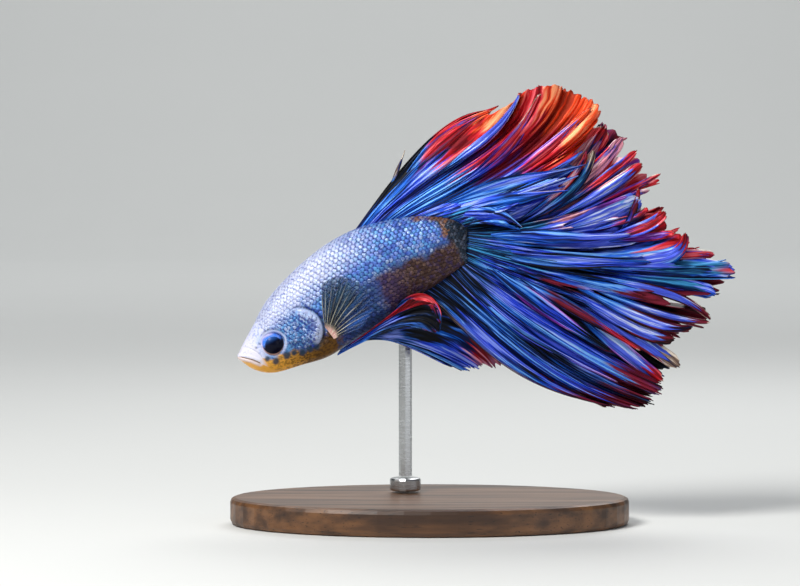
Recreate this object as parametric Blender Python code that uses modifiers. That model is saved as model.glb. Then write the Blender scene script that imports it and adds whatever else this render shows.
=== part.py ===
"""A male Siamese fighting fish (Betta splendens, long-finned) as a life-size still model on a display stand.

Metres, +Z up. The fish heads down towards -X with its left flank facing -Y. The origin is the centre of
the underside of the stand's base. The fish is worked out in millimetres in its own frame, whose zero is
the middle of the tail root: u runs tailwards, y to the fish's right and v upwards.
"""
import math

import bmesh
import bpy
from mathutils import Matrix, Vector

MM = 0.001
TAIL_ROOT = (6.0, 0.0, 46.0)  # the fish frame's zero, from the origin
GAP = 0.3  # clearance between neighbouring pieces
FIN_THICKNESS = 0.6

# The body's sections from snout to tail root: back u and v, belly u and v, half width, sideways shift.
BODY = [
    (-37.6, -17.8, -37.5, -18.6, 0.8, -2.6),
    (-36.8, -16.0, -35.0, -20.4, 1.9, -2.2),
    (-35.3, -13.2, -31.7, -21.0, 3.1, -1.6),
    (-32.7, -8.7, -27.1, -19.8, 4.3, -0.9),
    (-28.7, -4.3, -22.4, -18.3, 4.9, -0.3),
    (-23.8, -0.2, -17.6, -15.1, 4.9, 0.0),
    (-18.3, 2.8, -12.5, -11.9, 4.5, 0.0),
    (-12.5, 4.4, -8.4, -8.7, 3.9, 0.0),
    (-6.8, 5.0, -4.6, -6.3, 3.1, 0.0),
    (-2.3, 4.5, -1.3, -3.9, 2.1, 0.0),
    (0.3, 3.1, 0.0, -3.0, 0.8, 0.0),
]
LAST = len(BODY) - 1
FULLNESS = 0.85  # below 1 squares the oval sections off
KEEL = 0.22  # how much the belly narrows
HEAD_END, TRUNK_END = 4.25, 7.2  # where the flesh is parted, counted in sections
SECTION_STEP = 5.0  # mean distance between sections
BODY_SIDES = 24
HEAD_RINGS = 16

EYE_AT = (2.41, -0.015)  # section and rise of the eye's middle
EYE_RADIUS, EYE_DEPTH, EYE_OUT = 2.1, 1.5, 2.45  # radius, half thickness, middle's distance from the midline
MOUTH_CORNER = (-33.6, -19.75)
MOUTH_TILT = math.radians(18.8)
GILL_AT = (3.57, -0.13)  # section and rise of the gill cover's middle
GILL_RADII = (3.1, 4.3)  # along the body, across it
GILL_PLATE_FROM = 3.3  # the cover is what lies further out than this

# Each fin's rays from its first to its last: two bends and the tip, as u and v pairs.
DORSAL_RAYS = [
    (-13.7, 8.7, -4.4, 23.2, 4.1, 22.1),
    (-6.8, 11.7, 6.4, 16.7, 8.7, 25.1),
    (-2.6, 9.6, 13.0, 15.8, 15.2, 26.2),
    (0.7, 6.8, 15.5, 12.9, 21.9, 22.6),
    (0.7, 6.3, 10.6, 9.2, 19.3, 13.4),
    (2.3, 5.6, 10.6, 7.6, 16.5, 9.4),
    (1.8, 4.5, 5.6, 3.3, 8.9, 2.5),
]
CAUDAL_RAYS = [
    (4.6, 6.2, 17.3, 12.9, 22.4, 20.5),
    (13.0, 2.3, 22.1, 8.4, 31.5, 11.9),
    (12.2, -0.7, 25.4, -2.6, 37.0, 2.3),
    (12.2, -2.6, 28.7, -5.3, 44.4, -4.1),
    (8.9, -4.3, 25.4, -9.9, 40.4, -12.2),
    (8.9, -6.4, 23.8, -12.5, 35.3, -20.1),
    (4.4, -10.2, 20.0, -17.8, 32.7, -22.9),
]
ANAL_RAYS = [
    (-2.4, -9.6, 2.4, -21.4, 19.1, -25.4),
    (4.0, -12.2, 12.2, -22.9, 27.4, -26.9),
    (5.6, -12.2, 17.2, -21.3, 31.2, -25.7),
    (6.4, -7.4, 20.8, -17.0, 33.2, -23.0),
]
PECTORAL_RAYS = [
    (-23.4, -12.2, -23.8, -8.4, -23.6, -5.4),
    (-22.6, -11.6, -21.4, -7.6, -20.9, -4.7),
    (-21.4, -11.6, -18.9, -8.2, -17.3, -5.7),
    (-20.2, -12.6, -17.2, -10.6, -15.0, -9.4),
    (-19.8, -14.0, -18.0, -13.6, -16.8, -12.9),
]
NEAR_PELVIC_RAYS = [
    (-17.0, -14.9, -12.4, -11.2, -9.2, -8.5),
    (-14.5, -13.4, -7.5, -7.6, -4.4, -10.0),
    (-15.0, -14.1, -8.0, -9.4, -4.8, -14.2),
    (-17.0, -15.6, -13.0, -13.6, -8.6, -12.8),
]
FAR_PELVIC_RAYS = [
    (-12.6, -10.0, 2.0, -5.8, 7.3, -20.5),
    (-15.5, -13.6, -8.0, -14.4, 2.5, -20.9),
    (-16.5, -14.8, -14.0, -13.9, -1.8, -20.5),
    (-17.0, -14.4, -15.0, -13.9, -8.7, -17.0),
]

# Each fin's ragged edge: place across the fin from 0 to 1, and how far the ray there reaches.
DORSAL_EDGE = [
    (0.0, 1.0), (0.06, 0.97), (0.11, 0.86), (0.13, 0.93), (0.16, 1.0),
    (0.27, 1.01), (0.35, 1.0), (0.43, 0.99), (0.5, 1.0), (0.56, 0.95), (0.6, 0.76), (0.667, 1.0), (0.75, 0.83), (0.84, 1.03),
    (0.88, 0.66), (0.94, 0.6), (1.0, 1.0),
]
CAUDAL_EDGE = [
    (0.0, 1.0), (0.065, 1.03), (0.09, 0.86), (0.105, 1.0), (0.118, 0.94), (0.132, 0.97), (0.15, 0.92), (0.17, 1.0),
    (0.2, 0.89), (0.225, 0.82), (0.237, 0.88), (0.25, 0.84), (0.262, 0.94), (0.285, 0.93), (0.305, 0.86),
    (0.32, 0.97), (0.365, 0.95), (0.425, 0.97), (0.5, 1.0), (0.55, 0.96), (0.575, 0.97), (0.6, 0.93),
    (0.612, 0.81), (0.64, 0.9), (0.655, 0.98), (0.685, 0.99), (0.698, 0.79), (0.71, 0.94), (0.765, 0.91),
    (0.812, 0.83), (0.83, 0.97), (0.92, 0.97), (1.0, 0.99),
]
ANAL_EDGE = [
    (0.0, 1.0), (0.15, 1.02), (0.25, 0.98), (0.34, 1.0), (0.46, 0.98), (0.58, 1.0), (0.72, 0.97), (0.86, 0.99),
    (1.0, 0.97),
]
PELVIC_EDGE = [(0.0, 1.0), (0.3, 0.97), (0.6, 1.0), (1.0, 0.94)]
PECTORAL_EDGE = [(0.0, 0.95), (0.25, 1.0), (0.5, 0.98), (0.75, 1.0), (1.0, 0.94)]

BASE_SIZE = (66.0, 42.0, 4.5)
BASE_ROUNDING = 0.8
ROD_RADIUS = 1.1
ROD_FOOT = (-4.0, 6.6)  # x and y where the rod leaves the base
ROD_BEND = 6.0  # height over which it turns in to the flank
ROD_TOP = -3.0  # the height of its end in the fish's frame
ROD_SECTION = 7.1  # where it meets the flank, counted in sections
COLLAR_RADIUS, COLLAR_HEIGHT = 2.6, 2.2


def spline(rows, place):
    """The row at place, where whole numbers are the given rows and a smooth curve joins them."""
    last = len(rows) - 1
    i = max(0, min(int(place), last - 1))
    f = place - i
    p, q, r, s = (rows[max(0, min(j, last))] for j in (i - 1, i, i + 1, i + 2))
    return [b + 0.5 * f * (c - a + f * (2 * a - 5 * b + 4 * c - d + f * (3 * (b - c) + d - a)))
            for a, b, c, d in zip(p, q, r, s)]


def curve_point(points, reach):
    """The point at reach along the cubic curve through four control points."""
    a, b, c, d = points
    rest = 1 - reach
    return a * rest**3 + b * 3 * rest * rest * reach + c * 3 * rest * reach * reach + d * reach**3


def world(point):
    """A fish-frame point in millimetres as a world place in metres."""
    return (Vector(point) + Vector(TAIL_ROOT)) * MM


def section(t):
    """The section's middle, the arrow from there to the back, the arrow to the fish's right, and its half width."""
    def middle(at):
        back_u, back_v, belly_u, belly_v, width, shift = spline(BODY, at)
        return Vector(((back_u + belly_u) / 2, shift, (back_v + belly_v) / 2))
    back_u, back_v, belly_u, belly_v, width, shift = spline(BODY, t)
    rise = Vector((back_u - belly_u, 0, back_v - belly_v)) / 2
    ahead = middle(min(t + 0.1, LAST)) - middle(max(t - 0.1, 0))
    right = rise.cross(ahead).normalized()
    return middle(t), rise, right, width


def flesh(t, turn):
    """The point of the body's surface at section t; turn 0 is the fish's right and a quarter turn its back."""
    middle, rise, right, width = section(t)
    side, lift = math.cos(turn), math.sin(turn)
    breadth = math.copysign(abs(side) ** FULLNESS, side) * (1 - KEEL * max(0.0, -lift) ** 1.5)
    return middle + rise * lift + right * breadth * width


def back(t):
    return flesh(t, math.pi / 2)


def belly(t):
    return flesh(t, -math.pi / 2)


def paint(name, colour, roughness, metallic=0.0):
    """A plain material; colour is linear red, green and blue."""
    material = bpy.data.materials.new(name)
    material.use_nodes = True
    shader = material.node_tree.nodes["Principled BSDF"]
    shader.inputs["Base Color"].default_value = (*colour, 1)
    shader.inputs["Roughness"].default_value = roughness
    shader.inputs["Metallic"].default_value = metallic
    return material


def keep(obj, name, material, collection):
    """Names a finished piece, paints it and files it."""
    obj.name = obj.data.name = name
    obj.data.materials.clear()
    obj.data.materials.append(material)
    for old in list(obj.users_collection):
        old.objects.unlink(obj)
    collection.objects.link(obj)
    return obj


def loft(first, last, rings):
    """A closed length of the body from section first to section last, shaped from a sphere's rings."""
    bpy.ops.mesh.primitive_uv_sphere_add(segments=BODY_SIDES, ring_count=rings + 1)
    obj = bpy.context.object
    for vertex in obj.data.vertices:
        ring = round(math.acos(max(-1, min(1, vertex.co.z))) / math.pi * (rings + 1))
        t = first + (last - first) * (max(1, min(ring, rings)) - 1) / (rings - 1)
        if ring in (0, rings + 1):
            vertex.co = world(section(t)[0])
        else:
            vertex.co = world(flesh(t, math.atan2(vertex.co.y, vertex.co.x)))
    close_outwards(obj)
    return obj


def close_outwards(obj):
    """Turns every face of a closed mesh outwards."""
    mesh = bmesh.new()
    mesh.from_mesh(obj.data)
    bmesh.ops.recalc_face_normals(mesh, faces=mesh.faces)
    mesh.to_mesh(obj.data)
    mesh.free()


def cut(obj, cutter, operation):
    """Cuts a piece by another and files the cutter as a guide."""
    modifier = obj.modifiers.new(operation.title(), "BOOLEAN")
    modifier.operation = operation
    modifier.object = cutter
    cutter.hide_render = True
    cutter.display_type = "WIRE"


def body_axes(t, side):
    """A turn whose z points out of the flank on one side (1 right, -1 left) and whose y points to the back."""
    middle, rise, right, width = section(t)
    out = right * side
    up = rise.normalized()
    return middle, Matrix((up.cross(out), up, out)).transposed().to_4x4()


def gill_drum(side, extra, collection):
    """The space of a gill cover, grown by extra: an oval drum standing out from the head."""
    t, rise = GILL_AT
    middle, axes = body_axes(t, side)
    centre = middle + section(t)[1] * rise
    depth = 6.0
    bpy.ops.mesh.primitive_cylinder_add(vertices=32, radius=1, depth=depth * MM)
    drum = bpy.context.object
    size = Matrix.Diagonal(((GILL_RADII[0] + extra) * MM, (GILL_RADII[1] + extra) * MM, 1, 1))
    lift = Matrix.Translation((0, 0, (GILL_PLATE_FROM - extra + depth / 2) * MM))
    drum.data.transform(Matrix.Translation(world(centre)) @ axes @ lift @ size)
    keep(drum, f"gill_space_{side}_{extra}", PAINTS["guide"], collection)
    close_outwards(drum)
    return drum


def jaw_box(extra, collection):
    """The space of the lower jaw, grown by extra: a box below the mouth and ahead of its corner."""
    size = 12.0
    bpy.ops.mesh.primitive_cube_add(size=1)
    box = bpy.context.object
    half = size / 2
    lift = Matrix.Translation(((extra - half) * MM, 0, (extra - half) * MM))
    corner = world((MOUTH_CORNER[0], 0, MOUTH_CORNER[1]))
    turn = Matrix.Rotation(MOUTH_TILT, 4, "Y")
    box.data.transform(Matrix.Translation(corner) @ turn @ lift @ Matrix.Scale(size * MM, 4))
    return keep(box, f"jaw_space_{extra}", PAINTS["guide"], collection)


def eyeball(side, extra, name, material, collection):
    """One eye, or with extra the hollow it sits in: a sphere pressed flat sideways."""
    t, rise = EYE_AT
    middle, axes = body_axes(t, side)
    bpy.ops.mesh.primitive_uv_sphere_add(segments=16, ring_count=8)
    ball = bpy.context.object
    radius, depth = EYE_RADIUS + extra, EYE_DEPTH + extra
    size = Matrix.Diagonal((radius * MM, radius * MM, depth * MM, 1))
    lift = Matrix.Translation((0, 0, EYE_OUT * MM))
    ball.data.transform(Matrix.Translation(world(middle + section(t)[1] * rise)) @ axes @ lift @ size)
    keep(ball, name, material, collection)
    close_outwards(ball)
    return ball


def make_flesh(parts, guides):
    """Head, lower jaw, gill covers, eyes, trunk and tail stem, parted by thin gaps."""
    half_gap = GAP / 2 / SECTION_STEP
    head = keep(loft(0, HEAD_END - half_gap, HEAD_RINGS), "head", PAINTS["head"], parts)
    jaw = keep(loft(0, HEAD_END - half_gap, HEAD_RINGS), "lower_jaw", PAINTS["jaw"], parts)
    cut(jaw, jaw_box(0, guides), "INTERSECT")
    cut(head, jaw_box(GAP, guides), "DIFFERENCE")
    for side, word in ((-1, "left"), (1, "right")):
        cover = keep(loft(0, HEAD_END - half_gap, HEAD_RINGS), f"gill_cover_{word}", PAINTS["head"], parts)
        cut(cover, gill_drum(side, 0, guides), "INTERSECT")
        cut(head, gill_drum(side, GAP, guides), "DIFFERENCE")
        eyeball(side, 0, f"eye_{word}", PAINTS["eye"], parts)
        cut(head, eyeball(side, GAP, f"eye_space_{word}", PAINTS["guide"], guides), "DIFFERENCE")
    keep(loft(HEAD_END + half_gap, TRUNK_END - half_gap, 9), "trunk", PAINTS["trunk"], parts)
    keep(loft(TRUNK_END + half_gap, LAST, 9), "tail_stem", PAINTS["stem"], parts)


def edge_places(edge, count):
    """Places across a fin: every point of its edge, with more between them to about count in all."""
    places = [edge[0][0]]
    for (start, _), (end, _) in zip(edge, edge[1:]):
        steps = max(1, round((end - start) * count))
        places += [start + (end - start) * step / steps for step in range(1, steps + 1)]
    return places


def edge_reach(edge, place):
    """How far the ray at place reaches, read between the edge's points."""
    for (start, low), (end, high) in zip(edge, edge[1:]):
        if place <= end:
            return low + (high - low) * (place - start) / (end - start)
    return edge[-1][1]


def fan(name, rays, edge, root, depth, material, parts, count, rows=7):
    """A fin: a grid bent along its rays, from root(s) out to its edge, thrown sideways by depth(s, reach)."""
    places = edge_places(edge, count)
    columns = len(places) - 1
    bpy.ops.mesh.primitive_grid_add(x_subdivisions=columns, y_subdivisions=rows, size=2)
    fin = bpy.context.object
    for vertex in fin.data.vertices:
        s = places[round((vertex.co.x + 1) / 2 * columns)]
        reach = (vertex.co.y + 1) / 2 * edge_reach(edge, s)
        start = root(s)
        row = spline(rays, s * (len(rays) - 1))
        bends = [Vector((row[i], start.y, row[i + 1])) for i in (0, 2, 4)]
        point = curve_point([start, *bends], reach)
        vertex.co = world(point + Vector((0, depth(s, reach), 0)))
    keep(fin, name, material, parts)
    solid = fin.modifiers.new("Solidify", "SOLIDIFY")
    solid.thickness = FIN_THICKNESS * MM
    solid.offset = 0
    return fin


def pleat(s, reach, folds, height, phase=0.0):
    """The sideways throw of a fin's folds, which deepen towards its edge."""
    return height * reach**1.3 * math.sin(2 * math.pi * folds * s + phase)


def make_fins(parts):
    clear = GAP + 0.05

    def dorsal_root(s):
        return back(5.95 + 3.45 * s) + Vector((0, 0, clear))

    def dorsal_depth(s, reach):
        return -2.4 * s * reach**0.5 + pleat(s, reach, 4.5, 1.3)

    def caudal_root(s):
        middle, rise, right, width = section(LAST)
        return middle + rise * (1 - 2 * s) + Vector((clear + 0.1, 0, 0))

    def caudal_depth(s, reach):
        fold_back = abs(2 * s - 1) ** 1.5
        return (4.2 * fold_back - 1.0) * reach**0.5 + pleat(s, reach, 6, 1.8 - 0.8 * fold_back)

    def anal_root(s):
        return belly(7.1 + 2.5 * s) - Vector((0, 0, clear + 0.1))

    def anal_depth(s, reach):
        return -2.0 * (0.3 + 0.7 * s) * reach**0.5 + pleat(s, reach, 3, 1.0, 1.0)

    fan("dorsal_fin", DORSAL_RAYS, DORSAL_EDGE, dorsal_root, dorsal_depth, PAINTS["fin"], parts, 36)
    fan("caudal_fin", CAUDAL_RAYS, CAUDAL_EDGE, caudal_root, caudal_depth, PAINTS["fin"], parts, 50)
    fan("anal_fin", ANAL_RAYS, ANAL_EDGE, anal_root, anal_depth, PAINTS["fin"], parts, 26)
    for side, word in ((-1, "left"), (1, "right")):
        def pectoral_root(s, side=side):
            return Vector((-22.9 + 1.3 * s, side * 5.4, -13.9 - 1.0 * s))

        def pectoral_depth(s, reach, side=side):
            return side * (0.6 * reach + 1.6 * reach * reach + pleat(s, reach, 3, 0.25))

        fan(f"pectoral_fin_{word}", PECTORAL_RAYS, PECTORAL_EDGE, pectoral_root, pectoral_depth, PAINTS["web"],
            parts, 14, 6)

    def near_pelvic_root(s):
        return Vector((-20.6 - 0.6 * s, -1.6, -17.3 - 0.9 * s))

    def near_pelvic_depth(s, reach):
        return -3.6 * reach**0.7 + 0.8 * reach * s

    def far_pelvic_root(s):
        return Vector((-20.6 - 0.6 * s, 1.6, -17.3 - 0.9 * s))

    def far_pelvic_depth(s, reach):
        return 1.2 * reach**0.5 + pleat(s, reach, 2, 0.4)

    fan("pelvic_fin_left", NEAR_PELVIC_RAYS, PELVIC_EDGE, near_pelvic_root, near_pelvic_depth, PAINTS["fin"],
        parts, 10)
    fan("pelvic_fin_right", FAR_PELVIC_RAYS, PELVIC_EDGE, far_pelvic_root, far_pelvic_depth, PAINTS["fin"],
        parts, 10)


def make_stand(parts):
    """An oval base, a collar on it, and a rod that rises behind the fins and turns in to the right flank."""
    length, width, height = BASE_SIZE
    bpy.ops.mesh.primitive_cylinder_add(vertices=48, radius=1, depth=1)
    base = bpy.context.object
    base.data.transform(Matrix.Translation((0, 0, height / 2 * MM))
                        @ Matrix.Diagonal((length / 2 * MM, width / 2 * MM, height * MM, 1)))
    rounding = base.modifiers.new("Bevel", "BEVEL")
    rounding.width = BASE_ROUNDING * MM
    rounding.segments = 2
    keep(base, "stand_base", PAINTS["base"], parts)

    foot_x, foot_y = ROD_FOOT
    foot_z = height + GAP
    bpy.ops.mesh.primitive_cylinder_add(vertices=16, radius=COLLAR_RADIUS * MM, depth=COLLAR_HEIGHT * MM)
    collar = bpy.context.object
    collar.data.transform(Matrix.Translation(Vector((foot_x, foot_y, foot_z + COLLAR_HEIGHT / 2)) * MM))
    rounding = collar.modifiers.new("Bevel", "BEVEL")
    rounding.width = 0.4 * MM
    rounding.segments = 2
    rounding.limit_method = "ANGLE"
    keep(collar, "stand_collar", PAINTS["metal"], parts)

    top = TAIL_ROOT[2] + ROD_TOP
    flank = flesh(ROD_SECTION, 0).y + GAP
    foot = Vector((foot_x, foot_y, foot_z + COLLAR_HEIGHT + GAP))
    steps = 8
    route = [foot, Vector((foot_x, foot_y, top - ROD_BEND))]
    for step in range(1, steps + 1):
        turn = math.pi / 2 * step / steps
        route.append(Vector((foot_x, flank + (foot_y - flank) * math.cos(turn),
                             top - ROD_BEND * (1 - math.sin(turn)))))
    curve = bpy.data.curves.new("stand_rod", "CURVE")
    curve.dimensions = "3D"
    curve.bevel_depth = ROD_RADIUS * MM
    curve.bevel_resolution = 2
    curve.use_fill_caps = True
    line = curve.splines.new("POLY")
    line.points.add(len(route) - 1)
    for point, place in zip(line.points, route):
        point.co = (*(place * MM), 1)
    rod = bpy.data.objects.new("stand_rod", curve)
    bpy.context.scene.collection.objects.link(rod)
    keep(rod, "stand_rod", PAINTS["metal"], parts)


for leftover in list(bpy.data.objects):
    bpy.data.objects.remove(leftover)

PAINTS = {
    "head": paint("pale scaled skin", (0.55, 0.55, 0.85), 0.45),
    "jaw": paint("gold jaw skin", (0.8, 0.45, 0.12), 0.45),
    "trunk": paint("blue scaled skin", (0.18, 0.3, 0.8), 0.4),
    "stem": paint("dark scaled skin", (0.06, 0.04, 0.06), 0.4),
    "eye": paint("eye", (0.01, 0.015, 0.06), 0.05),
    "fin": paint("blue fin", (0.04, 0.12, 0.75), 0.4),
    "web": paint("clear fin", (0.05, 0.2, 0.3), 0.35),
    "base": paint("walnut", (0.1, 0.045, 0.02), 0.4),
    "metal": paint("brushed steel", (0.55, 0.55, 0.57), 0.3, 1.0),
    "guide": paint("guide", (0.5, 0.5, 0.5), 0.5),
}
PARTS = bpy.data.collections.new("betta_fish")
GUIDES = bpy.data.collections.new("cutters")
bpy.context.scene.collection.children.link(PARTS)
bpy.context.scene.collection.children.link(GUIDES)
make_flesh(PARTS, GUIDES)
make_fins(PARTS)
make_stand(PARTS)
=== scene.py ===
"""Looks of a long-finned male Siamese fighting fish (Betta splendens) held on a walnut display stand.

The frame is in metres with +Z up. The fish heads down towards -X with its left flank facing -Y. As in the
solids, the fish is worked out in millimetres in its own frame, whose zero is the middle of the tail root:
u runs tailwards, y to the fish's right and v upwards. A body place is a section number t from 0 at the snout
to 10 at the tail root and a turn round the section, where 0 is the fish's right and a quarter turn its back.
"""
import math

import bpy
import numpy as np
from bpy.props import FloatProperty, FloatVectorProperty, IntProperty, PointerProperty
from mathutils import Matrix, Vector


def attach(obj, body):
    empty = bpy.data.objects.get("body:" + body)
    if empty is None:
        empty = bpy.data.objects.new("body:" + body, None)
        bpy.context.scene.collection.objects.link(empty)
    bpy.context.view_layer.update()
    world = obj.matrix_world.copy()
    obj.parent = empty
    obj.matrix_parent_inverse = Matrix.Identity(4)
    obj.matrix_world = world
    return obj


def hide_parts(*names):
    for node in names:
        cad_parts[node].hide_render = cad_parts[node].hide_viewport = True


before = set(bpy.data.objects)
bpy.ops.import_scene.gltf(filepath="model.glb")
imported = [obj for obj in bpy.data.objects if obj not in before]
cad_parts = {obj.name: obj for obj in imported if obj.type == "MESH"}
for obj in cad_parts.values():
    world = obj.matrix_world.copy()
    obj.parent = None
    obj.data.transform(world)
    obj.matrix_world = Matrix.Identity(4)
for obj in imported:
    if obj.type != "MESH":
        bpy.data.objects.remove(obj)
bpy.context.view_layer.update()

bl_info = {
    "name": "Betta on a display stand",
    "version": (1, 0, 0),
    "blender": (4, 5, 0),
    "location": "3D View > Sidebar > Betta",
    "description": "Builds the skin, scales, eyes, fins and stand finish of a life-size betta fish",
    "category": "Object",
}

MM = 0.001
TAIL_ROOT = np.array([6.0, 0.0, 46.0])  # the fish frame's zero, from the frame's origin

# The body's sections from snout to tail root: back u and v, belly u and v, half width, sideways shift.
BODY = np.array([
    (-37.6, -17.8, -37.5, -18.6, 0.8, -2.6),
    (-36.8, -16.0, -35.0, -20.4, 1.9, -2.2),
    (-35.3, -13.2, -31.7, -21.0, 3.1, -1.6),
    (-32.7, -8.7, -27.1, -19.8, 4.3, -0.9),
    (-28.7, -4.3, -22.4, -18.3, 4.9, -0.3),
    (-23.8, -0.2, -17.6, -15.1, 4.9, 0.0),
    (-18.3, 2.8, -12.5, -11.9, 4.5, 0.0),
    (-12.5, 4.4, -8.4, -8.7, 3.9, 0.0),
    (-6.8, 5.0, -4.6, -6.3, 3.1, 0.0),
    (-2.3, 4.5, -1.3, -3.9, 2.1, 0.0),
    (0.3, 3.1, 0.0, -3.0, 0.8, 0.0),
])
LAST = len(BODY) - 1
FULLNESS = 0.85
KEEL = 0.22

EYE_AT = (2.41, -0.015)
EYE_RADIUS, EYE_DEPTH, EYE_OUT = 1.97, 1.42, 2.5
GILL_CENTRE, GILL_RADIUS = (-27.3, -13.9), 3.5
GILL_WAY = np.array([0.87, 0.5])  # the way tailwards along the gill cover
MOUTH_LINE = [(-38.1, -18.1), (-35.5, -18.85), (-34.2, -19.45)]
LIP_CREASE = [(-36.9, -16.6), (-36.1, -16.9), (-34.8, -17.6), (-33.9, -18.6)]
NOSTRILS = [(-34.4, -16.2), (-35.05, -16.85)]
PECTORAL_BASE = (-22.6, -14.1)
CHEEK_SPOTS = [(-33.1, -18.7, 0.46), (-31.6, -19.1, 0.58), (-29.8, -18.1, 0.66), (-28.6, -17.7, 0.5),
               (-27.2, -17.7, 0.55), (-26.0, -17.0, 0.6), (-24.9, -16.7, 0.6)]

# Each fin's rays from its first to its last: two bends and the tip, as u and v pairs.
RAYS = {
    "dorsal": [
        (-13.7, 8.7, -4.4, 23.2, 4.1, 22.1),
        (-6.8, 11.7, 6.4, 16.7, 8.7, 25.1),
        (-2.6, 9.6, 13.0, 15.8, 15.2, 26.2),
        (0.7, 6.8, 15.5, 12.9, 21.9, 22.6),
        (0.7, 6.3, 10.6, 9.2, 19.3, 13.4),
        (2.3, 5.6, 10.6, 7.6, 16.5, 9.4),
        (1.8, 4.5, 5.6, 3.3, 8.9, 2.5),
    ],
    "caudal": [
        (4.6, 6.2, 17.3, 12.9, 22.4, 20.5),
        (13.0, 2.3, 22.1, 8.4, 31.5, 11.9),
        (12.2, -0.7, 25.4, -2.6, 37.0, 2.3),
        (12.2, -2.6, 28.7, -5.3, 44.4, -4.1),
        (8.9, -4.3, 25.4, -9.9, 40.4, -12.2),
        (8.9, -6.4, 23.8, -12.5, 35.3, -20.1),
        (4.4, -10.2, 20.0, -17.8, 32.7, -22.9),
    ],
    "anal": [
        (-2.4, -9.6, 2.4, -21.4, 19.1, -25.4),
        (4.0, -12.2, 12.2, -22.9, 27.4, -26.9),
        (5.6, -12.2, 17.2, -21.3, 31.2, -25.7),
        (6.4, -7.4, 20.8, -17.0, 33.2, -23.0),
    ],
    "pectoral": [
        (-23.4, -12.2, -23.8, -8.4, -23.6, -5.4),
        (-22.6, -11.6, -21.4, -7.6, -20.9, -4.7),
        (-21.4, -11.6, -18.9, -8.2, -17.3, -5.7),
        (-20.2, -12.6, -17.2, -10.6, -15.0, -9.4),
        (-19.8, -14.0, -18.0, -13.6, -16.8, -12.9),
    ],
    "near_pelvic": [
        (-17.0, -14.9, -12.4, -11.2, -9.2, -8.5),
        (-14.5, -13.4, -7.5, -7.6, -4.4, -10.0),
        (-15.0, -14.1, -8.0, -9.4, -4.8, -14.2),
        (-17.0, -15.6, -13.0, -13.6, -8.6, -12.8),
    ],
    "far_pelvic": [
        (-12.6, -10.0, 2.0, -5.8, 7.3, -20.5),
        (-15.5, -13.6, -8.0, -14.4, 2.5, -20.9),
        (-16.5, -14.8, -14.0, -13.9, -1.8, -20.5),
        (-17.0, -14.4, -15.0, -13.9, -8.7, -17.0),
    ],
}
RAYS = {fin: np.array(rows) for fin, rows in RAYS.items()}

# Each fin's ragged edge: place across the fin from 0 to 1, and how far the ray there reaches.
EDGES = {
    "dorsal": [
        (0.0, 1.0), (0.06, 0.97), (0.11, 0.86), (0.13, 0.93), (0.16, 1.0), (0.27, 1.01), (0.35, 1.0),
        (0.43, 0.99), (0.5, 1.0), (0.56, 0.95), (0.6, 0.76), (0.667, 1.0), (0.75, 0.83), (0.84, 1.03),
        (0.88, 0.66), (0.94, 0.6), (1.0, 1.0),
    ],
    "caudal": [
        (0.0, 1.0), (0.065, 1.03), (0.09, 0.86), (0.105, 1.0), (0.118, 0.94), (0.132, 0.97), (0.15, 0.92),
        (0.17, 1.0), (0.2, 0.89), (0.225, 0.82), (0.237, 0.88), (0.25, 0.84), (0.262, 0.94), (0.285, 0.93),
        (0.305, 0.86), (0.32, 0.97), (0.365, 0.95), (0.425, 0.97), (0.5, 1.0), (0.55, 0.96), (0.575, 0.97),
        (0.6, 0.93), (0.612, 0.81), (0.64, 0.9), (0.655, 0.98), (0.685, 0.99), (0.698, 0.79), (0.71, 0.94),
        (0.765, 0.91), (0.812, 0.83), (0.83, 0.97), (0.92, 0.97), (1.0, 0.99),
    ],
    "anal": [
        (0.0, 1.0), (0.15, 1.02), (0.25, 0.98), (0.34, 1.0), (0.46, 0.98), (0.58, 1.0), (0.72, 0.97),
        (0.86, 0.99), (1.0, 0.97),
    ],
    "pelvic": [
        (0.0, 1.0), (0.3, 0.97), (0.6, 1.0), (1.0, 0.94),
    ],
    "pectoral": [
        (0.0, 0.95), (0.25, 1.0), (0.5, 0.98), (0.75, 1.0), (1.0, 0.94),
    ],
}

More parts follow.
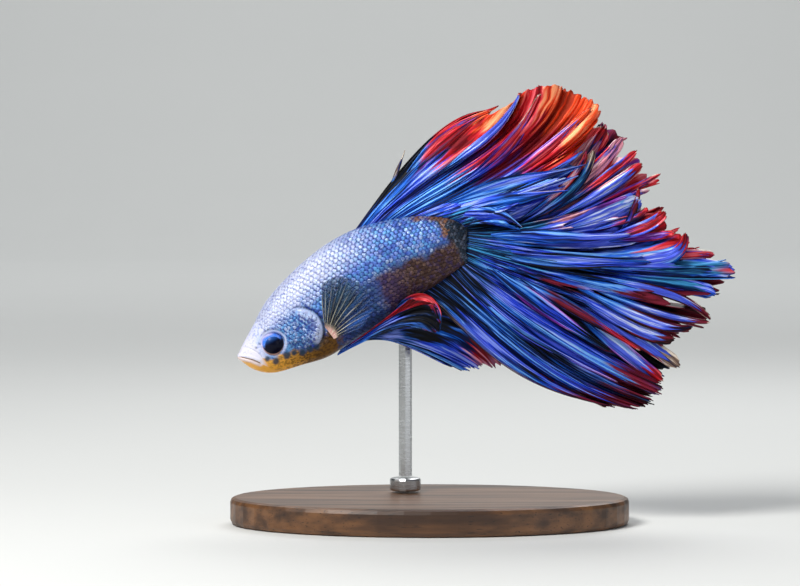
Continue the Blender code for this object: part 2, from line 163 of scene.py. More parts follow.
# Each fin's patches of pigment on its blue: the pigment, from and to across the fin, from and to along its
# rays, and how strong it is. Red and orange are pigments; violet is red under blue; teal is blue over black.
ZONES = {
    "dorsal": [
        ("violet", 0.18, 0.56, 0.42, 0.74, 0.75), ("violet", 0.03, 0.2, 0.44, 0.6, 0.5),
        ("pale", 0.16, 0.5, 0.45, 0.7, 0.28), ("red", 0.04, 0.22, 0.56, 1.2, 0.95),
        ("red", 0.14, 0.6, 0.6, 1.2, 1.0), ("red", 0.2, 0.56, 0.4, 0.7, 0.6),
        ("orange", 0.28, 0.57, 0.78, 1.2, 0.8), ("orange", 0.06, 0.2, 0.8, 1.2, 0.6),
        ("night", -0.1, 0.05, 0.2, 0.62, 1.0), ("red", -0.1, 0.05, 0.64, 1.2, 0.9),
        # Behind the crest, the near black and teal streaks between the rear spikes are painted shadow.
        ("night", 0.58, 0.64, 0.3, 1.0, 0.6), ("teal", 0.6, 1.1, 0.0, 0.4, 0.5),
        ("pale", 0.6, 0.95, 0.5, 1.2, 0.6), ("night", 0.74, 0.8, 0.2, 0.8, 0.5),
        ("night", 0.9, 1.1, 0.0, 0.5, 0.5),
    ],
    "caudal": [
        ("teal", -0.1, 1.1, -0.1, 0.13, 0.8), ("night", -0.1, 1.1, -0.1, 0.06, 0.8),
        ("teal", -0.1, 0.26, -0.1, 0.5, 0.7), ("night", 0.0, 0.16, -0.1, 0.4, 0.5),
        ("cream", 0.06, 0.24, 0.42, 0.8, 0.75), ("violet", 0.0, 0.3, 0.5, 0.86, 0.5),
        ("pale", 0.0, 0.34, 0.34, 0.92, 1.0), ("red", -0.1, 0.14, 0.82, 1.2, 0.6),
        ("cream", -0.1, 0.16, 0.9, 1.2, 0.5), ("red", 0.14, 0.3, 0.84, 1.2, 0.8),
        ("red", 0.3, 0.42, 0.86, 1.2, 0.9), ("pale", 0.36, 0.5, 0.55, 0.9, 0.6),
        ("red", 0.42, 0.56, 1.03, 1.2, 0.6), ("teal", 0.42, 0.56, 0.7, 1.0, 0.6),
        ("teal", 0.44, 0.62, -0.1, 0.36, 0.7), ("night", 0.5, 0.6, 0.1, 0.6, 0.7),
        ("maroon", 0.655, 0.705, 0.25, 0.7, 0.9), ("pale", 0.62, 0.86, 0.5, 0.8, 0.55),
        ("violet", 0.62, 0.8, 0.6, 0.9, 0.5), ("maroon", 0.54, 0.8, 0.8, 1.2, 0.8),
        ("night", 0.64, 0.72, 0.3, 0.8, 0.5), ("night", 0.74, 0.8, 0.3, 0.9, 0.7),
        ("red", 0.74, 1.1, 0.9, 1.2, 0.7), ("maroon", 0.76, 1.1, 0.72, 1.2, 1.0),
        ("night", 0.8, 1.1, 0.7, 1.2, 0.75), ("night", 0.8, 1.1, 0.46, 0.8, 0.85),
        ("night", 0.93, 1.1, 0.35, 0.6, 0.7), ("night", 0.84, 0.9, 0.1, 0.5, 0.6),
        ("night", 0.3, 0.36, 0.2, 0.8, 0.5),
    ],
    "anal": [
        ("night", -0.1, 1.1, -0.1, 0.26, 0.75), ("tan", -0.1, 0.07, 0.0, 0.34, 1.0),
        ("tan", -0.1, 0.02, 0.4, 0.8, 0.8), ("pale", 0.03, 0.14, 0.2, 0.7, 0.45),
        ("night", 0.12, 0.2, 0.1, 0.8, 0.45), ("pale", 0.3, 0.9, 0.5, 0.85, 0.4),
        ("night", 0.28, 0.34, 0.2, 0.9, 0.4), ("night", 0.4, 0.7, 0.3, 0.9, 0.5),
        ("maroon", -0.1, 1.1, 0.84, 1.2, 0.9), ("night", 0.0, 1.1, 0.9, 1.2, 0.6),
    ],
    "near_pelvic": [
        ("red", -0.1, 0.1, 0.15, 0.7, 0.9), ("red", -0.1, 0.36, 0.62, 1.2, 1.0),
        # The near black over the inner part is painted shadow under the fin's curled top, and the maroon of
        # its hook is its red in painted shade.
        ("night", 0.34, 1.1, 0.45, 1.0, 1.0), ("maroon", 0.2, 0.8, 0.88, 1.2, 0.9),
        ("night", 0.45, 0.8, 0.85, 1.2, 0.5), ("maroon", -0.1, 0.5, 0.9, 1.2, 0.7),
    ],
    "far_pelvic": [
        ("red", -0.1, 0.22, 0.86, 1.2, 1.0), ("cream", -0.1, 0.3, 0.94, 1.2, 0.7),
        # The near black patches are painted shadow where the near ventral fin and the body shade this fin.
        ("night", 0.0, 0.5, 0.45, 0.7, 0.95), ("night", 0.1, 0.9, 0.1, 0.5, 0.7),
        ("night", 0.4, 1.1, 0.6, 0.9, 0.6),
    ],
    "pectoral": [
        ("teal", 0.5, 1.1, 0.3, 0.9, 0.8),
    ],
}

# Each pigment's lightest colour, how dark its shadows are, and whether it sets in on light streaks or dark.
PIGMENTS = {
    "violet": ("#c299f1", 0.24, -1), "pale": ("#d4dfff", 0.5, -1), "teal": ("#3f99d4", 0.06, 1),
    "red": ("#ef616c", 0.36, 1), "maroon": ("#811d35", 0.08, 1), "orange": ("#ff9e6f", 0.42, 1),
    "cream": ("#f1cbd7", 0.5, 1), "tan": ("#e1d4c5", 0.2, 1), "night": ("#21509e", 0.06, -1),
}

# The fins' separate fingers and ridges, each a narrow lobe over the web: the u and v of its start, its two
# bends and its tip, its half width, its sideways place at start and tip, how pointed it is, and the pigments
# of its middle, its edges and its tip.
FINGERS = {
    "caudal": [
        (9.0, 4.4, 15.2, 8.6, 18.6, 11.8, 19.8, 15.7, 0.6, -1.0, -1.6, 0.5, "cream", "red", "red"),
        (9.0, 3.6, 17.2, 7.8, 20.4, 11.6, 20.9, 15.9, 0.9, -0.8, -1.4, 0.4, "teal", "night", "tan"),
        (9.7, 5.5, 18.0, 12.2, 20.5, 15.8, 23.1, 19.8, 2.0, 0.6, 1.0, 0.2, "cream", "violet", "red"),
        (11.0, 4.6, 20.5, 10.9, 23.4, 14.2, 25.9, 18.0, 1.3, 0.2, 0.2, 0.3, "cream", "red", "cream"),
        (13.6, 5.1, 22.9, 10.9, 25.7, 13.5, 28.2, 15.8, 0.7, 0.0, -0.6, 0.3, "red", "pale", "red"),
        (13.1, 3.8, 22.9, 8.4, 26.2, 11.2, 29.0, 13.7, 1.1, -0.5, -1.4, 0.3, "pale", "cream", "red"),
        (15.2, 4.0, 25.7, 8.3, 28.7, 10.2, 32.0, 11.9, 0.6, -0.6, -1.4, 0.5, "red", "violet", "red"),
        (15.2, 3.5, 25.4, 7.6, 27.9, 8.7, 30.2, 9.2, 0.5, -0.8, -1.8, 0.4, "pale", "violet", "cream"),
        (25.2, 2.4, 27.2, 4.6, 28.1, 6.8, 28.2, 9.6, 0.6, -1.6, -2.5, 0.5, "maroon", "maroon", "red"),
        (12.6, 1.8, 22.9, 4.4, 25.7, 5.9, 28.9, 7.6, 2.2, -1.0, -2.0, 0.1, "pale", "violet", "pale"),
        (18.5, 2.1, 28.4, 4.3, 29.0, 5.4, 29.7, 6.4, 0.6, -1.4, -2.2, 0.3, "red", "maroon", "red"),
        (18.0, 0.5, 29.2, 2.2, 31.2, 3.9, 32.7, 5.8, 1.0, -1.8, -2.8, 0.2, "red", "pale", "red"),
        (19.0, 0.5, 30.4, 1.3, 32.3, 2.0, 34.3, 2.1, 0.7, -1.6, -2.6, 0.3, "violet", "red", "red"),
        (18.4, -1.8, 31.7, -3.0, 35.9, -2.4, 35.8, 2.3, 1.5, -1.8, -3.6, 0.6, "pale", "", "red"),
        (22.2, -1.6, 36.1, -1.7, 38.6, -1.0, 40.9, -1.5, 0.8, -1.4, -2.2, 0.3, "red", "cream", "red"),
        (17.8, -2.2, 34.0, -4.4, 39.4, -2.8, 44.4, -4.3, 1.6, -1.6, -2.2, 0.3, "teal", "", "pale"),
        (17.8, -3.4, 33.3, -6.9, 37.6, -6.2, 41.3, -8.1, 1.3, -1.2, -1.6, 0.1, "teal", "pale", ""),
        (16.7, -4.1, 31.2, -6.9, 36.6, -8.0, 40.3, -12.2, 0.8, -1.8, -2.6, 0.5, "pale", "maroon", "maroon"),
        (17.3, -5.4, 31.2, -11.6, 36.0, -12.3, 40.1, -12.5, 0.7, -1.2, -2.4, 0.5, "pale", "maroon", "maroon"),
        (15.2, -5.3, 28.7, -12.1, 32.7, -14.3, 37.3, -13.2, 1.1, -1.8, -2.8, 0.6, "pale", "maroon", "maroon"),
        (13.9, -5.8, 27.1, -13.1, 30.7, -15.7, 34.5, -15.2, 1.3, -1.4, -2.0, 0.3, "pale", "maroon", "maroon"),
        (14.6, -7.1, 27.7, -14.7, 31.7, -17.2, 35.5, -20.1, 1.3, -0.8, -0.8, 0.1, "pale", "maroon", "tan"),
        (13.6, -7.5, 25.1, -16.3, 28.7, -19.8, 32.7, -22.4, 1.2, -0.8, -1.4, 0.2, "pale", "violet", "red"),
        (10.8, -9.8, 22.4, -19.8, 27.4, -22.1, 32.3, -24.1, 1.5, -0.2, 0.2, 0.1, "maroon", "night", "maroon"),
        (9.1, -11.2, 19.8, -21.8, 24.1, -24.1, 29.0, -25.9, 1.5, 0.2, 0.8, 0.1, "night", "maroon", "maroon"),
        (10.4, -18.7, 16.3, -22.4, 20.5, -24.4, 24.8, -26.6, 1.2, 0.6, 1.4, 0.1, "", "night", "maroon"),
        (8.9, -5.3, 13.9, -8.3, 20.5, -11.9, 28.7, -17.2, 1.0, -1.6, -2.8, 0.8, "maroon", "night", "red"),
        (2.0, 1.5, 8.9, 2.6, 17.2, 0.3, 27.1, 2.0, 1.2, -0.6, -3.0, 0.7, "", "", "pale"),
        (2.0, 0.0, 10.6, -3.3, 20.5, -2.6, 30.4, -2.6, 1.3, -0.6, -3.2, 0.7, "", "night", ""),
        (0.9, -2.4, 5.6, -9.7, 15.5, -16.3, 26.2, -21.8, 1.3, -0.3, -0.6, 0.7, "", "", "violet"),
        (1.3, -1.7, 8.9, -7.3, 15.5, -12.2, 23.8, -17.2, 1.3, -0.4, -2.6, 0.7, "", "violet", "night"),
        (2.0, 3.0, 8.9, 5.1, 16.5, 6.8, 20.8, 15.5, 1.2, 0.0, 0.2, 0.6, "pale", "teal", "red"),
        (2.3, -10.6, 5.5, -15.5, 12.0, -18.8, 20.5, -24.2, 0.5, -0.8, -1.0, 0.8, "night", "violet", "maroon"),
        (3.0, -15.5, 8.0, -19.8, 13.5, -22.4, 20.1, -25.2, 0.5, -0.4, 0.2, 0.8, "night", "maroon", "maroon"),
        (2.3, -8.2, 6.0, -13.2, 14.0, -17.4, 25.0, -22.4, 0.45, -1.2, -2.4, 0.8, "night", "pale", "violet"),
    ],
    "dorsal": [
        (-5.9, 5.6, 2.3, 9.2, 10.6, 10.9, 19.5, 13.4, 1.5, -0.4, -3.6, 1.0, "", "", ""),
        (-5.1, 5.3, 2.3, 6.6, 9.7, 8.3, 16.7, 9.2, 1.3, -0.6, -4.0, 1.0, "", "", ""),
        (-3.5, 5.0, 0.7, 5.9, 5.3, 6.6, 9.1, 3.1, 1.4, -0.4, -3.6, 1.0, "", "", ""),
        (-11.2, 9.9, -6.3, 15.5, -1.7, 20.1, 4.1, 22.1, 1.3, -0.4, -0.8, 0.7, "red", "red", "orange"),
        (-5.9, 10.9, 1.5, 16.7, 6.1, 19.0, 8.7, 24.9, 0.9, -0.6, -2.2, 0.8, "pale", "violet", "pale"),
        (2.3, 9.2, 10.6, 12.5, 15.5, 17.5, 20.6, 22.8, 1.1, -1.2, -2.6, 0.5, "red", "violet", "orange"),
        (-2.6, 9.2, 4.8, 13.4, 9.7, 18.3, 12.2, 25.2, 1.1, -0.8, -2.2, 0.5, "red", "violet", "red"),
        (-12.6, 9.6, -11.6, 11.9, -10.8, 13.5, -10.1, 15.7, 0.3, -0.3, -0.5, 1.0, "tan", "tan", "tan"),
    ],
    "near_pelvic": [
        # The hook's tip is painted near black as shade inside its curl.
        (-12.2, -11.2, -9.4, -6.9, -3.6, -7.4, -4.6, -14.2, 0.8, -3.4, -4.4, 0.4, "red", "red", "night"),
    ],
}

SIDES = ((-1, "left"), (1, "right"))  # y is positive to the fish's right
SCALE_ROOT = 0.35  # the share of a scale's length that lies before its root
WIDEST_GIRTH = 16  # millimetres from the middle of the flank past the farthest row of scales
BAKE_MAP, BAKE_MARGIN = "OFBake", 0.01


def srgb(text):
    """A hex colour as linear red, green and blue."""
    values = [int(text[i:i + 2], 16) / 255 for i in (1, 3, 5)]
    return tuple(c / 12.92 if c <= 0.04045 else ((c + 0.055) / 1.055) ** 2.4 for c in values)


def colour(name, text, about):
    """A colour property with its default from a hex value."""
    return FloatVectorProperty(name=name, description=about, subtype="COLOR", size=3, min=0, max=1,
                               default=srgb(text))


def size(name, value, about):
    """A length property in metres."""
    return FloatProperty(name=name, description=about, default=value, unit="LENGTH", precision=5)


class BettaBody(bpy.types.PropertyGroup):
    skin_rings: IntProperty(name="Skin rings", description="Rings along the body", default=240, min=40)
    skin_sides: IntProperty(name="Skin sides", description="Points round each ring", default=128, min=24)
    coat_depth: size("Coat depth", 0.00014, "How far the skin lies inside the scales' outer face")
    gill_step: size("Gill step", 0.00035, "Height of the gill cover's rear edge")
    scale_pitch: size("Scale pitch", 0.00074, "Distance from one scale to the next along the body")
    scale_row: size("Scale row", 0.00068, "Distance between neighbouring rows of scales")
    scale_length: size("Scale length", 0.00106, "Length of one scale, with the part under its neighbour")
    scale_width: size("Scale width", 0.00084, "Width of one scale")
    scale_lift: size("Scale lift", 0.00013, "How far a scale's rear edge stands off the skin")
    scale_thickness: size("Scale thickness", 0.00004, "Thickness of one scale")


class BettaSkinColours(bpy.types.PropertyGroup):
    forehead: colour("Forehead", "#dadffb", "Pale lavender of the forehead and nape")
    flank: colour("Flank", "#5579d6", "Periwinkle blue of the flank")
    cyan: colour("Cyan", "#5fa2e2", "Cyan glints on flank and cheek")
    glint: colour("Glint", "#d3e2ff", "The brightest scales")
    gaps: colour("Gaps", "#1c3596", "Deep blue between the scales")
    cheek: colour("Cheek", "#3560ae", "Blue of cheek and gill cover")
    throat: colour("Throat", "#f4b144", "Gold of the throat and lower jaw")
    breast: colour("Breast", "#74501f", "Brown behind the throat")
    lip: colour("Lip", "#eae8fa", "White of the upper lip")
    rear: colour("Rear", "#40261f", "Maroon brown of the lower rear flank")
    violet: colour("Violet", "#3c2a5c", "Violet where brown meets blue")
    stem: colour("Stem", "#0c1826", "Near black of the tail stem")
    dash: colour("Dash", "#4f7396", "Grey blue glints on the tail stem")
    stripe: colour("Stripe", "#8a5a30", "Rust stripe along the rear of the back")
    spots: colour("Spots", "#12344e", "Dark teal of the spots under the eye")
    # Painted as shade in the mouth's slit, the nostrils and the creases.
    black: colour("Black", "#05070f", "Mouth corner, nostrils and creases")


class BettaFins(bpy.types.PropertyGroup):
    web: size("Web thickness", 0.00016, "Thickness of the fins' webs")
    side_web: size("Side web thickness", 0.00012, "Thickness of the side fins' webs")
    pleats: FloatProperty(name="Pleats", description="Small pleats across the tail fin", default=46, min=0)
    pleat_height: size("Pleat height", 0.00026, "Height of the small pleats at the edge")
    columns: IntProperty(name="Columns", description="Steps across the tail fin", default=420, min=40)
    rows: IntProperty(name="Rows", description="Steps along its rays", default=84, min=20)
    blue: colour("Blue", "#2446d8", "Royal blue of the webs")
    azure: colour("Azure", "#0c5ccc", "Greener blue that runs through the webs in broad bands")
    lavender: colour("Lavender", "#8aa0f8", "Pale lavender of the rays on blue")
    red: colour("Red", "#b80e1e", "Crimson of the edges")
    orange: colour("Orange", "#f04a1c", "Orange of the dorsal fin's edge")
    violet: colour("Violet", "#7a2ea0", "Violet where red lies under blue")
    teal: colour("Teal", "#0a4272", "Teal of the webs near the tail stem")
    pale: colour("Pale", "#586fe8", "Periwinkle of the pale folds")
    maroon: colour("Maroon", "#5c0a1e", "Maroon of the lower edges")
    cream: colour("Cream", "#c67a8c", "Rosy cream of torn edges")
    tan: colour("Tan", "#8a7264", "Tan of the belly fin's front edge")
    # Also painted as shadow on parts of the ventral fins, in the near one's hook and between the back fin's
    # rear spikes.
    night: colour("Night", "#06142c", "Near black of the deepest webs")
    bone: colour("Bone", "#efe8cf", "Cream of the side fins' rays")


class BettaEyes(bpy.types.PropertyGroup):
    pupil: FloatProperty(name="Pupil", description="Pupil radius as a share of the eye", default=0.71)
    iris: colour("Iris", "#3f80ea", "Blue of the iris")
    ring: colour("Ring", "#d8cbe4", "Pale ring round the iris")
    black: colour("Black", "#03061c", "Blue black of the pupil")


class BettaStage(bpy.types.PropertyGroup):
    lens: FloatProperty(name="Lens", description="Focal length in millimetres", default=150)
    distance: size("Distance", 0.55, "Camera distance")
    elevation: FloatProperty(name="Elevation", description="Camera height angle", default=math.radians(2.5),
                             subtype="ANGLE")
    paper: colour("Paper", "#dfe1e0", "Floor and backdrop")


# ---------------------------------------------------------------- shapes of the body


def rows_at(rows, place):
    """The rows at many places, where whole numbers are the given rows and a smooth curve joins them."""
    place = np.atleast_1d(np.asarray(place, float))
    last = len(rows) - 1
    i = np.clip(place.astype(int), 0, last - 1)
    f = (place - i)[:, None]
    a, b, c, d = (rows[np.clip(i + step, 0, last)] for step in (-1, 0, 1, 2))
    return b + 0.5 * f * (c - a + f * (2 * a - 5 * b + 4 * c - d + f * (3 * (b - c) + d - a)))


def section(t):
    """Middles, arrows from there to the back, unit arrows to the fish's right, and half widths."""
    def middle(at):
        row = rows_at(BODY, at)
        return np.stack([(row[:, 0] + row[:, 2]) / 2, row[:, 5], (row[:, 1] + row[:, 3]) / 2], 1), row
    t = np.atleast_1d(np.asarray(t, float))
    here, row = middle(t)
    rise = np.stack([row[:, 0] - row[:, 2], 0 * t, row[:, 1] - row[:, 3]], 1) / 2
    ahead = middle(np.minimum(t + 0.1, LAST))[0] - middle(np.maximum(t - 0.1, 0))[0]
    right = np.cross(rise, ahead)
    right /= np.linalg.norm(right, axis=1)[:, None]
    return here, rise, right, row[:, 4]


def flesh(t, turn):
    """Points of the body's surface at sections t and turns."""
    middle, rise, right, width = section(t)
    side, lift = np.cos(turn), np.sin(turn)
    breadth = np.sign(side) * np.abs(side) ** FULLNESS * (1 - KEEL * np.maximum(0, -lift) ** 1.5)
    return middle + rise * lift[:, None] + right * (breadth * width)[:, None]


def flat_place(t, lift):
    """u and v of a place on the body's middle plane."""
    middle, rise, _, _ = section(t)
    return (middle + rise * np.atleast_1d(lift)[:, None])[:, (0, 2)]


def smooth(value, low, high):
    """A soft step from 0 at low to 1 at high."""
    x = np.clip((value - low) / (high - low), 0, 1)
    return x * x * (3 - 2 * x)


def hump(value, width):
    """A soft bump of height 1 about 0."""
    return np.exp(-(value / width) ** 2)


def line_distance(points, line):
    """Signed distance from flat points to a broken line (above it positive), and how far along it, 0 to 1."""
    best, sign, along = np.full(len(points), 1e9), np.ones(len(points)), np.zeros(len(points))
    for index, (start, end) in enumerate(zip(line, line[1:])):
        way = np.subtract(end, start)
        share = np.clip((points - start) @ way / (way @ way), 0, 1)
        gap = points - (start + share[:, None] * way)
        distance = np.linalg.norm(gap, axis=1)
        nearer = distance < best
        best[nearer] = distance[nearer]
        sign[nearer] = np.sign(way[0] * gap[nearer, 1] - way[1] * gap[nearer, 0])
        along[nearer] = (index + share[nearer]) / (len(line) - 1)
    return best * sign, along


def from_gill(flat):
    """Distance of flat points from the gill cover's middle, and how far tailwards they lie, -1 to 1."""
    way = flat - GILL_CENTRE
    distance = np.linalg.norm(way, axis=1)
    return distance, (way @ GILL_WAY) / np.maximum(distance, 1e-6)


def from_eye(flat):
    """Distance of flat points from the eye's middle, and how far above it they lie."""
    way = flat - flat_place([EYE_AT[0]], [EYE_AT[1]])[0]
    return np.linalg.norm(way, axis=1), way[:, 1]


def relief(t, turn):
    """Height in millimetres to add to the plain body: sockets, lips, nostrils, gill covers and folds."""
    side, lift = np.abs(np.cos(turn)), np.sin(turn)
    flat = flat_place(t, lift)
    # The eye's socket with its rim, and the brow over it.
    away = from_eye(flat)[0] / EYE_RADIUS
    height = 0.10 * hump(away - 1.12, 0.07) - 0.9 * (1 - smooth(away, 0.84, 1.04))
    height += 0.08 * hump(away - 1.34, 0.14) * smooth(lift, -0.1, 0.3)
    # The slit of the mouth between two lips, and the crease behind the upper one.
    mouth, along = line_distance(flat, MOUTH_LINE)
    lips = 0.12 * hump(mouth - 0.36, 0.26) + 0.1 * hump(mouth + 0.28, 0.2) - 0.3 * hump(mouth, 0.075)
    height += lips * (1 - smooth(along, 0.9, 1.0))
    crease, along = line_distance(flat, LIP_CREASE)
    height -= 0.10 * hump(crease, 0.09) * (1 - smooth(along, 0.85, 1.0))
    for place in NOSTRILS:
        away = np.linalg.norm(flat - place, axis=1)
        height += 0.04 * hump(away - 0.3, 0.1) - 0.12 * hump(away, 0.17)
    # The gill cover's plate, the groove behind its rear edge and the fold before it.
    away, tailwards = from_gill(flat)
    plate = (1 - smooth(away, GILL_RADIUS - 0.05, GILL_RADIUS + 0.16)) * smooth(away, 0, 3)
    plate = plate * props("body").gill_step / MM - 0.22 * hump(away - GILL_RADIUS - 0.25, 0.2)
    height += plate * smooth(tailwards, -0.1, 0.45) * smooth(side, 0.15, 0.5)
    height -= 0.05 * hump(away - 2.0, 0.12) * smooth(-tailwards, -0.7, 0.2) * side
    # The swelling under each side fin, and the lines along the lower jaw.
    height += 0.35 * hump(np.linalg.norm(flat - PECTORAL_BASE, axis=1), 0.8) * side
    jaw = smooth(-lift, 0.55, 0.8) * (1 - smooth(t, 3.2, 4.2)) * smooth(t, 1.4, 2.0)
    return height - 0.07 * jaw * hump(side - 0.32, 0.08)


def props(group):
    """One of the add-on's groups of sizes and colours."""
    return getattr(bpy.context.scene, "betta_" + group)


# ---------------------------------------------------------------- mesh helpers


def select(*pieces):
    """Leaves only these pieces selected, the first of them active."""
    bpy.ops.object.select_all(action="DESELECT")
    for piece in pieces:
        piece.select_set(True)
    if pieces:
        bpy.context.view_layer.objects.active = pieces[0]


def read(data, field, width, kind=np.float32):
    """The numbers of a mesh's layer, as rows of so many."""
    values = np.empty(len(data) * width, kind)
    data.foreach_get(field, values)
    return values.reshape(-1, width)


def start_piece(add, name, **settings):
    """Adds one primitive with nothing else selected, and gives it and its vertices."""
    select()
    add(**settings)
    piece = bpy.context.object
    piece.name = piece.data.name = name
    return piece, read(piece.data.vertices, "co", 3)


def start_grid(name, columns, rows):
    """A flat grid from -1 to 1 both ways."""
    return start_piece(bpy.ops.mesh.primitive_grid_add, name, x_subdivisions=columns, y_subdivisions=rows,
                       size=2)


def set_points(piece, places):
    """Moves a piece's vertices to fish-frame millimetre places."""
    piece.data.vertices.foreach_set("co", ((places + TAIL_ROOT) * MM).astype(np.float32).ravel())
    piece.data.update()


def note(piece, name, *values):
    """Keeps three numbers for every vertex as an attribute."""
    attribute = piece.data.attributes.new(name, "FLOAT_VECTOR", "POINT")
    attribute.data.foreach_set("vector", np.stack(values, 1).astype(np.float32).ravel())


def turn_outwards(piece):
    """Recalculates a closed mesh's normals to point outwards."""
    select(piece)
    bpy.ops.object.mode_set(mode="EDIT")
    bpy.ops.mesh.select_all(action="SELECT")
    bpy.ops.mesh.normals_make_consistent(inside=False)
    bpy.ops.object.mode_set(mode="OBJECT")


def solidify(piece, thickness, offset):
    """Gives a sheet its thickness."""
    solid = piece.modifiers.new("Solidify", "SOLIDIFY")
    solid.thickness, solid.offset = thickness, offset
    bpy.context.view_layer.objects.active = piece
    bpy.ops.object.modifier_apply(modifier=solid.name)


def wrap(piece, across, along):
    """Gives a mesh the bake map, a UV map for baking its materials on."""
    layer = piece.data.uv_layers.new(name=BAKE_MAP)
    corners = read(piece.data.loops, "vertex_index", 1, np.int32)[:, 0]
    layer.data.foreach_set("uv", np.stack([across, along], 1)[corners].astype(np.float32).ravel())


def dress(piece, material, slot, *nodes):
    """Shades, paints and mounts a finished piece in place of its nodes."""
    piece.data.materials.clear()
    piece.data.materials.append(material)
    piece.data.shade_smooth()
    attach(piece, "root")
    if nodes:
        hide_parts(*nodes)


# ---------------------------------------------------------------- materials

# The kinds of shader node used: Blender's name, the inputs in the order they are given, the output that is
# taken (all where None), and the settings. Any other kind is an operation of a Math node.
NODES = {
    "attribute": ("Attribute", (), "Vector", {}),
    "place": ("TexCoord", (), "Object", {}),
    "split": ("SeparateXYZ", (0,), None, {}),
    "join": ("CombineXYZ", (0, 1, 2), 0, {}),
    "stretch": ("Mapping", ("Vector", "Scale"), 0, {}),
    "noise": ("TexNoise", ("Vector", "Scale", "Detail"), 0, {}),
    "wave": ("TexWave", ("Vector", "Scale", "Distortion"), 1, {"bands_direction": "Z"}),
    "ease": ("MapRange", (0, 1, 2, 3, 4), 0, {"interpolation_type": "SMOOTHSTEP"}),
    "mix": ("Mix", (0, 6, 7), 2, {"data_type": "RGBA"}),
    "bump": ("Bump", ("Height", "Strength", "Distance"), 0, {}),
}


class Recipe:
    """A material's node tree, and the words that it is written with."""

    def __init__(self, name):
        self.material = bpy.data.materials.new(name)
        self.material.use_nodes = True
        self.tree = self.material.node_tree

    def give(self, socket, value):
        """Gives a socket a link or a value."""
        if isinstance(value, bpy.types.NodeSocket):
            self.tree.links.new(value, socket)
        else:
            socket.default_value = (*value, 1) if socket.type == "RGBA" else value

    def add(self, kind, *values, **settings):
        """Adds a node with its settings and links, and gives its output; long sums are taken in turn."""
        if kind in ("ADD", "MULTIPLY") and len(values) > 2:
            values = (self.add(kind, *values[:-1]), values[-1])
        word, inputs, output, fixed = NODES.get(kind, ("Math", (0, 1, 2), 0, {"operation": kind}))
        node = self.tree.nodes.new("ShaderNode" + word)
        for name, value in (fixed | settings).items():
            setattr(node, name, value)
        for key, value in zip(inputs, values):
            self.give(node.inputs[key], value)
        return node.outputs if output is None else node.outputs[output]

    def much(self, *factors):
        """The product of factors: each a number, a link, or a soft step's value, low, high, start and end."""
        factors = [self.add("ease", *step) if isinstance(step, tuple) else step for step in factors]
        return self.add("MULTIPLY", *factors) if len(factors) > 1 else factors[0]

    def lay(self, paint, *coats):
        """Lays coats of colour over a paint, each with the factors that say how much of it shows."""
        for tint, *factors in coats:
            paint = self.add("mix", self.much(*factors), paint, tint)
        return paint

    def finish(self, **sockets):
        """Gives the shader's sockets, whose labels have underscores here, their links or values."""
        shader = self.tree.nodes["Principled BSDF"]
        for label, value in sockets.items():
            self.give(shader.inputs[label.replace("_", " ")], value)
        return self.material


